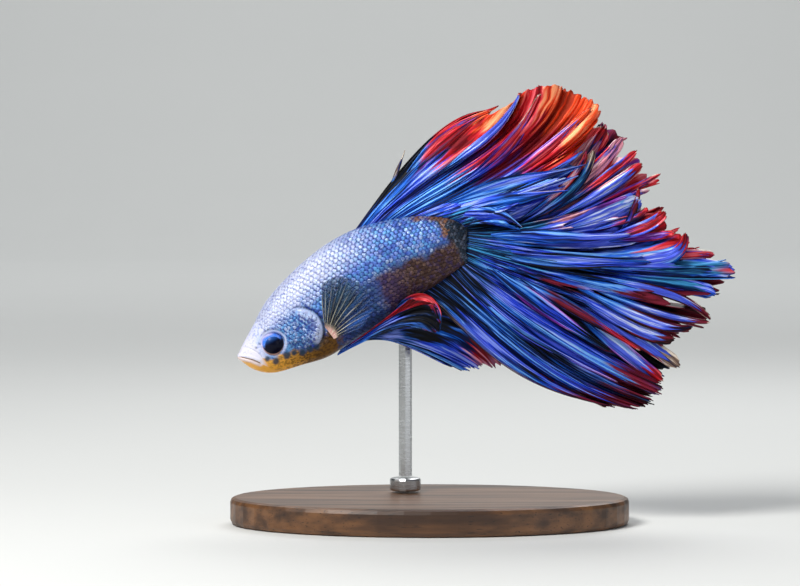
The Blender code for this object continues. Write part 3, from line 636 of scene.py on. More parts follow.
def body_markings(m, skin):
    """The fish's markings from its body places; the skin and the scales both use them."""
    t, lift, _ = m.add("split", m.add("attribute", attribute_name="body"))
    where = m.add("place")
    # Patches about 2.4 mm across, mottling about 0.8 mm and fine mottling about 0.4 mm across.
    soft, fine, tiny = (m.add("noise", where, scale) for scale in (420, 1300, 2400))
    lift = m.add("MULTIPLY_ADD", m.add("SUBTRACT", soft, 0.5), 0.5, lift)
    t = m.add("MULTIPLY_ADD", m.add("SUBTRACT", fine, 0.5), 0.7, t)

    cheek = m.lay(skin.cheek, (skin.cyan, (tiny, 0.38, 0.58)), (skin.forehead, (fine, 0.52, 0.66, 0.0, 0.45)))
    # Paler towards the top front: the fish's own pale lavender forehead and nape, partly painted highlight
    # where the light falls from above.
    pale = m.add("MAXIMUM", m.much((lift, 0.1, 0.62), (t, 6.8, 4.4)), m.much((t, 2.2, 1.7)))
    forehead = m.lay(skin.forehead, (skin.flank, (tiny, 0.5, 0.64, 0.0, 0.5)))
    rear = m.lay(skin.violet, (skin.rear, (t, 6.0, 7.2)), (skin.violet, (fine, 0.48, 0.64, 0.0, 0.7)))
    # The blue reaches low on the shoulder and climbs to the middle of the flank before the tail stem.
    low = m.add("ADD", lift, m.much((t, 7.2, 8.8, 0.0, -0.12)))
    on_rear = m.add("MAXIMUM", m.much((low, 0.0, -0.2), (t, 5.75, 6.25)), m.much((t, 8.55, 8.85)))
    on_stem = m.much((m.add("MULTIPLY_ADD", lift, 0.8, t), 8.78, 9.12))
    stripe = m.add("MAXIMUM", m.much((lift, 0.84, 0.95), (t, 7.4, 7.8), (t, 9.2, 8.9)),
                   m.much((t, 8.42, 8.52), (t, 8.72, 8.62), (lift, 0.15, 0.35)))
    throat = m.lay(skin.throat, (skin.breast, (t, 2.2, 3.7)),
                   (srgb("#3f2f1d"), (tiny, 0.46, 0.6), (t, 1.5, 3.2, 0.12, 0.75)))
    # The throat's edge rises forwards, and once more behind the gill cover.
    chin = m.add("MULTIPLY_ADD", m.add("MINIMUM", t, 4.0), 0.17, lift)
    chin = m.add("ADD", chin, m.much((t, 3.5, 4.1, 0.0, -0.2)))
    on_throat = m.much((chin, 0.04, -0.1), (t, 4.7, 4.3))
    seam = m.much((chin, 0.26, 0.1), (t, 2.5, 3.1), (t, 5.0, 4.4), (fine, 0.36, 0.56, 0.2, 0.85))
    # Painted shade: a dark navy patch on the lower flank under the side fin and round the ventral fins'
    # roots.
    shade = m.much((lift, 0.02, -0.25), (t, 4.35, 4.7), (t, 6.1, 5.7, 0.0, 0.85))
    # The face's black is painted shade in its creases.
    rim, black, spots = m.add("split", m.add("attribute", attribute_name="face"))
    paint = m.lay(
        skin.flank, (skin.cheek, (soft, 0.52, 0.64, 0.0, 0.5)), (skin.cyan, (fine, 0.42, 0.62)),
        (cheek, (lift, 0.46, 0.16), (t, 4.3, 3.9)), (forehead, pale), (skin.lip, (t, 2.0, 1.2, 0.0, 0.7)),
        (srgb("#30487c"), (low, 0.14, 0.0), (t, 5.4, 6.2, 0.0, 0.6)), (rear, on_rear), (skin.stem, on_stem),
        (skin.stripe, stripe), (srgb("#1d3c6c"), seam), (throat, on_throat), (srgb("#0d2252"), shade),
        (skin.forehead, rim), (skin.spots, spots), (skin.black, black))
    brown = m.add("MAXIMUM", on_rear, on_throat)
    # The pale glints keep off the brown, the tail stem and the painted shade.
    calm = m.add("MAXIMUM", m.add("MAXIMUM", brown, on_stem), shade)
    return paint, fine, pale, calm, on_stem, brown


def make_skin_material(skin):
    """Fish skin: thin wet epidermis over silvery pigment cells, so it is soft coloured with a broad gloss."""
    m = Recipe("betta skin")
    paint, fine, _, _, _, brown = body_markings(m, skin)
    lip, gold, black = m.add("split", m.add("attribute", attribute_name="marks"))
    # Pigment cells, drawn 0.4 mm across so that they show.
    freckle = m.add("noise", m.add("place"), 2600, 3.0)
    # The mouth's black is painted shade in its slit, nostrils and lip crease.
    paint = m.lay(paint, (skin.lip, lip), (skin.throat, gold), (skin.black, black),
                  (skin.flank, (freckle, 0.56, 0.72, 0.0, 0.35), m.add("SUBTRACT", 1.0, brown)))
    return m.finish(Base_Color=paint, Roughness=m.much((fine, 0.2, 0.8, 0.3, 0.5)), IOR=1.38, Metallic=0.05,
                    Coat_Weight=0.3, Coat_Roughness=0.18, Normal=m.add("bump", freckle, 0.4, 0.0001))


def make_scale_material(skin):
    """Bony scales with a layer of guanine crystals: bright, half metallic plates with dark rims."""
    m = Recipe("betta scales")
    paint, _, pale, calm, on_stem, brown = body_markings(m, skin)
    place = m.add("attribute", attribute_name="scale")
    tone, along, _ = m.add("split", place)
    lively = m.add("SUBTRACT", 1.0, calm)
    # Each scale shines but for its rear rim, which stays dark, and the part under its neighbour, which is
    # painted dark as shade.
    shine = m.much((along, 0.3, 0.5), (along, 1.0, 0.86))
    # Crystal patches within a scale are 0.3 mm across, and the duller patches of scales about 1.4 mm.
    glitter, patch = (m.add("noise", m.add("place"), scale) for scale in (3400, 700))
    core = m.much(shine, (glitter, 0.42, 0.6, 0.25, 1.0))
    # More glints and lighter gaps towards the pale top front, partly painted highlight where the light falls
    # from above.
    bright = m.add("MULTIPLY_ADD", pale, 0.3, m.much((tone, 0.4, 1.0, 0.0, 0.5)))
    rim = m.lay(paint, (skin.gaps, lively, (pale, 0.0, 1.0, 0.8, 0.3)), (srgb("#121016"), calm, 0.4))
    # Painted glints: pale ones on lively scales, warm ones on the brown, grey blue ones on the tail stem, and
    # royal blue ones on the scales in the painted shade under the side fin.
    wet = m.add("SUBTRACT", calm, m.add("MAXIMUM", brown, on_stem))
    paint = m.lay(
        paint, (skin.gaps, (patch, 0.5, 0.64), (pale, 0.0, 1.0, 0.6, 0.12), lively),
        (rim, m.add("SUBTRACT", 1.0, shine)), (skin.glint, bright, core, lively),
        (srgb("#997969"), brown, core, (tone, 0.2, 1.0, 0.0, 0.45)),
        (skin.dash, on_stem, core, (tone, 0.0, 1.0, 0.1, 0.6)),
        (srgb("#124bc4"), wet, core, (tone, 0.1, 1.0, 0.05, 0.6)))
    ridges = m.add("wave", place, 9.0, 0.6)
    return m.finish(Base_Color=paint, Roughness=m.much((tone, 0.0, 1.0, 0.45, 0.28)), IOR=1.4, Metallic=0.25,
                    Coat_Weight=0.15, Coat_Roughness=0.2, Normal=m.add("bump", ridges, 0.25, 0.00003))


def streaks(m, across, reach, per_ray, per_length, shift=0.0, detail=2.0):
    """Noise drawn out along the rays; the ray attribute counts rays across the fin."""
    where = m.add("join", m.much(across, per_ray), m.much(reach, per_length), shift)
    return m.add("noise", where, 1.0, detail)


def shades(m, light, middle, high, depth=0.06):
    """A pigment from its shadow colour through its own to its light one, by a light value about 0.5."""
    low = m.add("mix", 1.0, middle, (depth, depth, depth * 1.5), blend_type="MULTIPLY")
    return m.lay(low, (middle, (light, 0.41, 0.53)), (high, (light, 0.54, 0.68)))


def make_fin_material(fins):
    """Fin web: thin wet skin with blue reflecting cells, which shine in their own colour, over bony rays."""
    m = Recipe("betta fin web")
    across, reach, fold_shading = m.add("split", m.add("attribute", attribute_name="ray"))
    crinkle = m.add("SUBTRACT", streaks(m, across, reach, 0.5, 11.0, 7.0, 1.0), 0.5)
    across = m.add("MULTIPLY_ADD", crinkle, 0.42, across)
    # A streak is under half a ray's web, about 0.3 mm, wide. Rays fork, so the streaks double on the way out.
    near, middle, far, hair, band, drift = (streaks(m, across, reach, *row) for row in (
        (1.5, 3.6, 5.0, 3.0), (2.6, 3.6, 0.0, 3.0), (6.5, 6.5, 2.0, 2.0), (3.2, 6.5, 2.0, 2.0),
        (0.75, 2.6, 4.0, 2.0), (0.3, 1.6, 9.0, 1.0)))
    streak = m.lay(near, (middle, (reach, 0.2, 0.35)))
    hair = m.lay(hair, (far, (reach, 0.45, 0.6)))
    line = m.add("PINGPONG", m.much(across, 1.5), 0.5)  # 0.5 on each ray
    # The light value mixes the fin's own streaks, hairs and rays with painted light and shade: broad bands,
    # and the folds' shading, which is lighter on their crests and darker in their valleys.
    light = m.add("ADD", m.much(streak, 0.5), m.much(band, 0.4), m.add("MULTIPLY_ADD", hair, 0.25, -0.0875),
                  m.much(fold_shading, (reach, 0.05, 0.45, 0.04, 0.085)),
                  m.much((line, 0.25, 0.5, -0.03, 0.09), (reach, 0.3, 0.7, 1.0, 0.3)))
    light = m.add("MULTIPLY_ADD", light, 1.4, -0.19)
    azure = m.much((drift, 0.42, 0.54))
    paint = shades(m, light, m.lay(fins.blue, (fins.azure, azure)),
                   m.lay(fins.lavender, (srgb("#6fadf3"), azure)))
    uneven = m.add("ADD", m.add("MULTIPLY_ADD", band, 1.5, -0.75), m.add("MULTIPLY_ADD", streak, 0.9, -0.45))
    groups = (m.add("split", m.add("attribute", attribute_name=f"paint{group}")) for group in range(3))
    amounts = [amount for group in groups for amount in group]
    for (pigment, (high, depth, lean)), amount in zip(PIGMENTS.items(), amounts):
        # Each pigment sets in streak by streak, and stays out where it has none at all.
        set_in = m.add("MULTIPLY_ADD", uneven, lean, amount)
        tint = shades(m, light, getattr(fins, pigment), srgb(high), depth)
        paint = m.lay(paint, (tint, (set_in, 0.3, 0.7), (amount, 0.0, 0.2)))
    return m.finish(Base_Color=paint, Roughness=m.much((streak, 0.3, 0.7, 0.6, 0.42)), IOR=1.34, Metallic=0.4,
                    Normal=m.add("bump", streak, 0.7, 0.00014))


def make_clear_fin_material(fins):
    """Side fin: cream bony rays with a smoky see-through web between them."""
    m = Recipe("betta side fin")
    across, reach, _ = m.add("split", m.add("attribute", attribute_name="ray"))
    faint, streak = (streaks(m, across, reach, *row) for row in ((0.9, 1.35), (2.6, 2.0)))
    # Each ray is split in two near the edge.
    whole, halves = m.add("PINGPONG", across, 0.5), m.add("PINGPONG", m.much(across, 2.0), 0.5)
    ray = m.add("ADD", m.much((whole, 0.12, 0.04), (reach, 0.65, 0.85, 1.0, 0.0)),
                m.much((halves, 0.11, 0.04), (reach, 0.65, 0.85)))
    ray = m.much(ray, (faint, 0.36, 0.6, 0.3, 1.0), (reach, 0.15, 0.9, 1.0, 0.25))
    web = m.lay(srgb("#0a1d2c"), (srgb("#244561"), (streak, 0.4, 0.6)),
                (srgb("#2159ad"), (across, 5.5, 8.5), (streak, 0.42, 0.56)),
                (srgb("#121916"), (reach, 0.5, 0.2)))
    cream = m.lay(fins.bone, (srgb("#ce8686"), (reach, 0.2, 0.06), (streak, 0.62, 0.42, 0.25, 0.9)))
    base = m.add("MAXIMUM", m.much((reach, 0.18, 0.07)), ray)
    thin = m.much((streak, 0.3, 0.7, 0.45, 0.8), (across, 3.5, 8.0, 1.0, 0.5), (reach, 0.7, 1.0, 1.0, 0.55))
    alpha = m.add("MAXIMUM", m.much(base, (reach, 0.5, 1.0, 1.0, 0.7)), thin)
    return m.finish(Base_Color=m.lay(web, (cream, base)), Alpha=alpha, IOR=1.38, Coat_Weight=0.2,
                    Coat_Roughness=0.2, Roughness=m.much((streak, 0.3, 0.7, 0.5, 0.35)),
                    Normal=m.add("bump", ray, 0.6, 0.0001))


def make_eye_material(eyes):
    """Living eye: clear wet cornea over a black pupil and an iris of blue reflecting cells."""
    m = Recipe("betta eye")
    whole, pupil, up = m.add("split", m.add("attribute", attribute_name="eye"))
    grain = m.add("noise", m.add("place"), 3000)  # reflecting cells in patches about 0.3 mm across
    # Towards its upper front, which faces the lamps, the iris shows its blue cells with a painted pale
    # highlight at the top; below, it is dark.
    iris = m.lay(srgb("#1d2255"), (eyes.iris, (up, -0.25, 0.45)), (eyes.ring, (grain, 0.42, 0.7, 0.0, 0.25)),
                 (eyes.ring, (up, 0.72, 1.0, 0.0, 0.75)), (eyes.black, (up, 0.25, -0.15)))
    # The pupil is blue black, with a painted blue highlight towards its upper front.
    shade = m.lay(eyes.black, ([part * 0.45 for part in eyes.iris], (up, 0.05, 0.75)))
    # The ring widens behind and below the pupil, where it is rosy.
    ring = m.lay(eyes.ring, (srgb("#ad867c"), (up, 0.3, -0.7)))
    paint = m.lay(iris, (shade, (pupil, eyes.pupil + 0.05, eyes.pupil - 0.05)),
                  (ring, (m.add("MULTIPLY_ADD", up, -0.06, whole), 0.86, 0.93)))
    return m.finish(Base_Color=paint, IOR=1.34, Roughness=0.4, Specular_IOR_Level=0.15, Coat_Weight=0.1,
                    Coat_Roughness=0.06)


def make_walnut():
    """Oiled walnut: open-grained dark wood with a soft satin, cut with its grain along the base."""
    m = Recipe("oiled walnut")
    # The grain lines run along X and lie about 1.2 mm apart, ten times as far as the pores.
    grain, pores = (m.add("noise", m.add("stretch", m.add("place"), scale), 1.0, detail)
                    for scale, detail in (((30, 420, 420), 5.0), ((260, 4200, 4200), 2.0)))
    paint = m.lay(srgb("#3a2415"), (srgb("#7a5230"), (grain, 0.3, 0.7)),
                  (srgb("#22140b"), (pores, 0.62, 0.72)))
    return m.finish(Base_Color=paint, Roughness=m.much((grain, 0.2, 0.8, 0.5, 0.36)), IOR=1.5,
                    Coat_Weight=0.15, Coat_Roughness=0.3, Normal=m.add("bump", pores, 0.3, 0.00006))


def make_steel():
    """Brushed stainless steel: fine lines round the rod give it a drawn-out gloss."""
    m = Recipe("brushed steel")
    # The lines are about 0.1 mm apart, coarser than real ones so that they show.
    lines = m.add("noise", m.add("stretch", m.add("place"), (300, 300, 9000)), 1.0)
    return m.finish(Base_Color=srgb("#b9bbbd"), Metallic=1.0, Roughness=m.much((lines, 0.3, 0.7, 0.22, 0.4)),
                    Normal=m.add("bump", lines, 0.15, 0.00002))


def make_paper(stage):
    """Matt backdrop paper: an even pale sheet with no gloss."""
    m = Recipe("backdrop paper")
    tone = m.add("noise", m.add("place"), 12.0)
    paint = m.lay(stage.paper, (srgb("#cbcece"), (tone, 0.3, 0.7, 0.0, 0.03)))
    return m.finish(Base_Color=paint, Roughness=0.9, Specular_IOR_Level=0.2)


# ---------------------------------------------------------------- body pieces


def ring_places(count):
    """Section places of the skin's rings, closest at the mouth and eye."""
    return np.interp(np.linspace(0, 1, count), [0.0, 0.035, 0.27, 0.62, 1.0], [0.0, 0.12, 1.7, 4.4, LAST])


def face_marks(t, turn):
    """How much each place is pale rim, black painted as shade in the creases, and teal spot, from the gill
    covers, eyes and cheeks.
    """
    flat = flat_place(t, np.sin(turn))
    away, tailwards = from_gill(flat)
    behind = smooth(tailwards, 0.1, 0.5)
    rim = 0.55 * behind * (0.7 * hump(away - GILL_RADIUS + 0.2, 0.3) + hump(away - GILL_RADIUS + 1.0, 0.8))
    # The groove behind the gill cover's rear edge is painted black as shade.
    black = 0.9 * behind * hump(away - GILL_RADIUS - 0.3, 0.2)
    spots = 0 * t
    for u, v, radius in CHEEK_SPOTS:
        away = np.linalg.norm(flat - (u, v), axis=1)
        spots = np.maximum(spots, 1.0 - smooth(away, radius * 0.6, radius * 1.3))
    away, above = from_eye(flat)
    rim += (0.9 - 0.55 * smooth(above, -0.2, -1.8)) * hump(away - EYE_RADIUS - 0.06, 0.2)
    # A crease painted black as shade lies between the eye's rim and its brow.
    black += 0.5 * hump(away - EYE_RADIUS - 0.42, 0.16) * smooth(above, 1.0, 1.7)
    return np.clip(rim, 0, 1), np.clip(black, 0, 1), 0.92 * spots


def mouth_marks(t, turn):
    """How much each place is lip, gold jaw skin and black, the black painted as shade in the mouth's slit,
    the nostrils and the creases.
    """
    lift = np.sin(turn)
    flat = flat_place(t, lift)
    mouth, along = line_distance(flat, MOUTH_LINE)
    crease, on_crease = line_distance(flat, LIP_CREASE)
    before = 1 - smooth(t, 1.5, 1.9)
    lip = smooth(mouth, 0.0, 0.12) * smooth(-crease, -0.05, 0.1) * before
    lip = np.maximum(lip, smooth(-mouth, 0.0, 0.1) * (1 - smooth(-mouth, 0.4, 0.8)) * before * 0.7)
    gold = smooth(-mouth, 0.25, 0.75) * (1 - smooth(t, 2.0, 2.6)) * smooth(-lift, 0.1, 0.4)
    black = 0.75 * hump(mouth, 0.08) * (1 - smooth(along, 0.92, 1.0)) * smooth(along, 0.1, 0.4)
    for place in NOSTRILS:
        black += 0.8 * hump(np.linalg.norm(flat - place, axis=1), 0.18)
    black += 0.3 * hump(crease, 0.07) * before * smooth(on_crease, 0.1, 0.4)
    return lip, gold, np.clip(black, 0, 1)


def make_skin(material):
    """One skin over the whole body, shaped from a sphere's rings and lowered by the scales' depth."""
    sizes = props("body")
    rings, sides = sizes.skin_rings, sizes.skin_sides
    piece, ball = start_piece(bpy.ops.mesh.primitive_uv_sphere_add, "skin", segments=sides,
                              ring_count=rings + 1)
    t = np.repeat(ring_places(rings), sides)
    turn = np.tile(np.arange(sides) / sides * 2 * math.pi, rings)
    points = flesh(t, turn).reshape(rings, sides, 3)
    out = np.cross(np.roll(points, -1, 1) - np.roll(points, 1, 1), np.gradient(points, axis=0))
    out /= np.maximum(np.linalg.norm(out, axis=2), 1e-9)[..., None]
    middles = section(t)[0].reshape(rings, sides, 3)
    out *= np.sign((out * (points - middles)).sum(2))[..., None]
    height = relief(t, turn).reshape(rings, sides) - sizes.coat_depth / MM
    points = points + out * height[..., None]

    # Each of the sphere's vertices goes to the place of its ring and step, and a pole to its ring's middle.
    ring = np.round(np.arccos(np.clip(ball[:, 2], -1, 1)) / math.pi * (rings + 1)).astype(int)
    step = np.round(np.arctan2(ball[:, 1], ball[:, 0]) / (2 * math.pi) * sides).astype(int) % sides
    row = np.clip(ring, 1, rings) - 1
    final = points[row, step]
    for pole, end in ((0, 0), (rings + 1, rings - 1)):
        final[ring == pole] = points[end].mean(0)
    set_points(piece, final)
    turn_outwards(piece)
    t, turn = t.reshape(rings, sides)[row, step], turn.reshape(rings, sides)[row, step]
    note(piece, "body", t, np.sin(turn), 0 * t)
    note(piece, "marks", *mouth_marks(t, turn))
    note(piece, "face", *face_marks(t, turn))
    dress(piece, material, "flesh", "head", "lower_jaw", "gill_cover_left", "gill_cover_right", "trunk",
          "tail_stem")


def scale_template(sizes):
    """One scale as points, their place on the plate and faces: a rounded plate, hollow side down."""
    piece, grid = start_grid("scale", 3, 4)
    along = (grid[:, 0] + 1) / 2
    half = np.interp(along, [0, 0.25, 0.5, 0.75, 1.0], [0.55, 0.9, 1.0, 0.86, 0.34])
    bulge = 0.10 * (1 - grid[:, 1] ** 2) * smooth(along, 0.6, 1.0)
    across = grid[:, 1] * half * sizes.scale_width / MM / 2
    grid[:, 0] = (along + bulge - SCALE_ROOT) * sizes.scale_length / MM
    grid[:, 1] = across
    grid[:, 2] = (along - SCALE_ROOT) * sizes.scale_lift / MM + 0.05 * (1 - across**2) - 0.02
    piece.data.vertices.foreach_set("co", grid.ravel())
    note(piece, "plate", along, across, 0 * along)
    solidify(piece, sizes.scale_thickness / MM, -1)
    mesh = piece.data
    points, plate = read(mesh.vertices, "co", 3), read(mesh.attributes["plate"].data, "vector", 3)
    faces = [tuple(face.vertices) for face in mesh.polygons]
    bpy.data.objects.remove(piece)
    return points, plate, faces


def bare(t, lift):
    """Whether a place has no scales: the snout, the eyes, the throat and the gill covers' smooth rims."""
    flat = flat_place(t, lift)
    away, tailwards = from_gill(flat)
    plate = (tailwards > 0.15) & (away > GILL_RADIUS - 0.8) & (away < GILL_RADIUS + 0.5)
    snout = t < 2.6 + 0.9 * np.clip(-lift, -0.4, 1)
    throat = (lift + 0.17 * np.minimum(t, 4) < -0.02) & (t < 4.6)
    return snout | throat | (from_eye(flat)[0] < EYE_RADIUS + 0.5) | plate


def scale_growth(t):
    """The size of the scales along the body: small on the cheeks, full size on the flank."""
    return np.interp(t, [2.6, 3.6, 4.6, 7.0, LAST], [0.78, 0.86, 1.1, 1.0, 0.8])


def scale_places(sizes, side, wander):
    """Where the scales of one side root: section, turn, a tone and share of the body, in staggered rows."""
    t_steps = np.linspace(2.0, LAST, 400)
    turns = np.linspace(-math.pi / 2, math.pi / 2, 181)
    if side < 0:
        turns = math.pi - turns
    surface = flesh(np.repeat(t_steps, len(turns)), np.tile(turns, len(t_steps)))
    surface = surface.reshape(len(t_steps), len(turns), 3)
    middle = len(turns) // 2
    gaps = np.linalg.norm(np.diff(surface, axis=1), axis=2)
    girth = np.concatenate([np.zeros((len(t_steps), 1)), np.cumsum(gaps, 1)], 1)
    girth -= girth[:, middle][:, None]  # zero along the middle of the flank
    gaps = np.linalg.norm(np.diff(surface[:, middle], axis=0), axis=1)
    length = np.concatenate([[0], np.cumsum(gaps)])
    pitch, row_gap = sizes.scale_pitch / MM, sizes.scale_row / MM
    close = scale_growth(t_steps)
    steps = np.concatenate([[0], np.cumsum(np.diff(length) / (pitch * (close[1:] + close[:-1]) / 2))])
    found = []
    rows = int(WIDEST_GIRTH / row_gap)
    for row in range(-rows, rows + 1):
        for column in range(int(steps[-1]) + 1):
            s = np.interp(column + (row % 2) / 2 + wander.uniform(-0.1, 0.1), steps, length)
            t = np.interp(s, length, t_steps)
            if s > length[-1] - 0.3:
                continue
            index = np.searchsorted(t_steps, t).clip(0, len(t_steps) - 1)
            astray = 0.08 + 0.22 * (t < 4.4)  # the head's rows wander
            height = (row + wander.uniform(-astray, astray)) * row_gap * close[index]
            if not girth[index, 0] + 0.1 < height < girth[index, -1] - 0.1:
                continue
            turn = np.interp(height, girth[index], turns)
            found.append((t, turn, wander.uniform(0, 1), s / length[-1]))
    return np.array(found)


def make_scales(material):
    """The scale coat, one joined mesh for each side, each scale rooted on the skin and laid tailwards."""
    sizes = props("body")
    template, plate, faces = scale_template(sizes)
    wander = np.random.default_rng(7)
    step = 0.02
    for side, word in SIDES:
        found = scale_places(sizes, side, wander)
        t, turn, tone, share = found[~bare(found[:, 0], np.sin(found[:, 1]))].T
        here = flesh(t, turn)
        back = flesh(np.minimum(t + step, LAST), turn) - flesh(np.maximum(t - step, 0), turn)
        round_way = flesh(t, turn + step) - flesh(t, turn - step)
        out = np.cross(back, round_way)
        out *= np.sign((out * (here - section(t)[0])).sum(1))[:, None]
        out /= np.linalg.norm(out, axis=1)[:, None]
        reach, girth = np.linalg.norm(back, axis=1), np.linalg.norm(round_way, axis=1)
        back /= reach[:, None]
        over = np.cross(out, back)
        sense = np.sign((over * round_way).sum(1))
        height = relief(t, turn) - sizes.coat_depth / MM
        shape = template[None] * (scale_growth(t) * wander.uniform(0.9, 1.06, len(t)))[:, None, None]
        points = here[:, None] + shape[..., 0:1] * back[:, None] + shape[..., 1:2] * over[:, None] \
            + (shape[..., 2:3] + height[:, None, None]) * out[:, None]
        count, each = len(t), len(template)
        corners = [tuple(index + scale * each for index in face) for scale in range(count) for face in faces]
        mesh = bpy.data.meshes.new(f"scales_{word}")
        mesh.from_pydata(((points.reshape(-1, 3) + TAIL_ROOT) * MM).tolist(), [], corners)
        piece = bpy.data.objects.new(mesh.name, mesh)
        bpy.context.scene.collection.objects.link(piece)
        t_here = (t[:, None] + shape[..., 0] * (2 * step / reach)[:, None]).ravel()
        turn_here = (turn[:, None] + shape[..., 1] * (2 * step / girth * sense)[:, None]).ravel()
        note(piece, "body", t_here, np.sin(turn_here), 0 * t_here)
        note(piece, "face", *face_marks(t_here, turn_here))
        along, across, _ = np.tile(plate, (count, 1)).T
        repeat = np.repeat(np.arange(count), each)
        note(piece, "scale", tone[repeat], along, np.abs(across))
        wrap(piece, 0.005 + 0.985 * share[repeat] + 0.003 * along,
             0.005 + 0.985 * (turn[repeat] / (2 * math.pi) % 1.0) + 0.0015 * across)
        dress(piece, material, "flesh")


def make_eyes(material):
    """Eyeballs pressed flat as in life, each facing out of its socket."""
    middle, rise, right, _ = (value[0] for value in section([EYE_AT[0]]))
    for side, word in SIDES:
        out = right * side
        up = np.array([0.0, 0.0, 1.0])
        up -= out * (up @ out)
        up /= np.linalg.norm(up)
        ahead = np.cross(up, out)
        piece, ball = start_piece(bpy.ops.mesh.primitive_uv_sphere_add, f"eyeball_{word}", segments=64,
                                  ring_count=40)
        from_axis = np.linalg.norm(ball[:, :2], axis=1)
        lens = 0.14 * (1 - smooth(from_axis, 0.3, 0.85)) * (ball[:, 2] > 0)
        depth = ball[:, 2] * EYE_DEPTH + EYE_OUT + lens - 0.08
        place = middle + rise * EYE_AT[1] + ball[:, 0:1] * EYE_RADIUS * ahead + ball[:, 1:2] * EYE_RADIUS * up
        set_points(piece, place + depth[:, None] * out)
        turn_outwards(piece)
        tailwards, above = ahead[0] * ball[:, 0], ball[:, 1]
        note(piece, "eye", np.where(ball[:, 2] > 0, from_axis, 1.0), np.hypot(tailwards - 0.02, above + 0.12),
             above - 0.5 * tailwards)
        dress(piece, material, "eye", f"eye_{word}")


# ---------------------------------------------------------------- fins


def root_and_throw(fin, s, reach, side=1):
    """Roots of the rays at s, and how far the fin is thrown sideways there."""
    if fin == "dorsal":
        root = flesh(5.95 + 3.75 * s, np.full(len(s), math.pi / 2)) - [0, 0, 0.4]
        throw = -2.4 * s * reach**0.5
    elif fin == "caudal":
        middle, rise, _, _ = section(np.full(len(s), float(LAST)))
        root = middle + rise * (1.15 - 2.15 * s)[:, None] - [0.5, 0, 0]
        throw = (4.2 * np.abs(2 * s - 1) ** 1.5 - 1.0) * reach**0.5
    elif fin == "anal":
        root = flesh(7.1 + 2.5 * s, np.full(len(s), -math.pi / 2)) + [0, 0, 0.4]
        throw = -2.0 * (0.3 + 0.7 * s) * reach**0.5
    elif fin == "pectoral":
        root = np.stack([-23.1 + 1.4 * s, side * (4.9 + 0 * s), -13.2 - 1.9 * s], 1)
        throw = side * (0.5 * smooth(reach, 0, 0.15) + 0.6 * reach + 1.6 * reach**2)
    else:
        near = fin == "near_pelvic"
        root = np.stack([-20.6 - 0.6 * s, (-1.4 if near else 1.4) + 0 * s, -17.1 - 0.9 * s], 1)
        throw = -3.6 * reach**0.7 + 0.8 * reach * s if near else 1.2 * reach**0.5
    return root, throw


def curve_weights(along):
    """How much a curve's start, two bends and tip count at places along it."""
    rest = 1 - along
    return rest**3, 3 * rest**2 * along, 3 * rest * along**2, along**3


def ray_points(fin, s, reach, throw, root):
    """Points along the rays at s."""
    row = rows_at(RAYS[fin], np.clip(s, 0, 1) * (len(RAYS[fin]) - 1))
    bends = [np.stack([row[:, i], root[:, 1], row[:, i + 1]], 1) for i in (0, 2, 4)]
    place = sum(part * weight[:, None] for part, weight in zip([root, *bends], curve_weights(reach)))
    place[:, 1] += throw
    return place


def finger_reach(edge, s):
    """How far rays reach, with pointed tips and notches between the edge's points."""
    starts = np.array(edge)
    index = np.clip(np.searchsorted(starts[:, 0], s) - 1, 0, len(edge) - 2)
    low, high = starts[index], starts[index + 1]
    share = (s - low[:, 0]) / (high[:, 0] - low[:, 0])
    return low[:, 1] + (high[:, 1] - low[:, 1]) * (share + smooth(share, 0, 1)) / 2


def ripple(s, *waves):
    """A gentle irregular wave between about -1 and 1, from waves of a rate and a shift each."""
    return sum(np.sin(2 * math.pi * (rate * s + shift)) for rate, shift in waves) / len(waves)


def finish_web(piece, amounts, across, along, web=None):
    """Notes a web's pigments, gives it its bake map, a half for each face, and its thickness."""
    for group in range(3):
        note(piece, f"paint{group}", *list(amounts.values())[group * 3:group * 3 + 3])
    wrap(piece, across * (0.5 - 2 * BAKE_MARGIN) + BAKE_MARGIN, along * (1 - 2 * BAKE_MARGIN) + BAKE_MARGIN)
    front = len(piece.data.polygons)
    solidify(piece, web or props("fins").web, 0)
    layer = piece.data.uv_layers[BAKE_MAP].data
    uv = read(layer, "uv", 2)
    uv[piece.data.polygons[front].loop_start:, 0] += 0.5  # the far side takes the map's other half
    layer.foreach_set("uv", uv.ravel())
    return piece


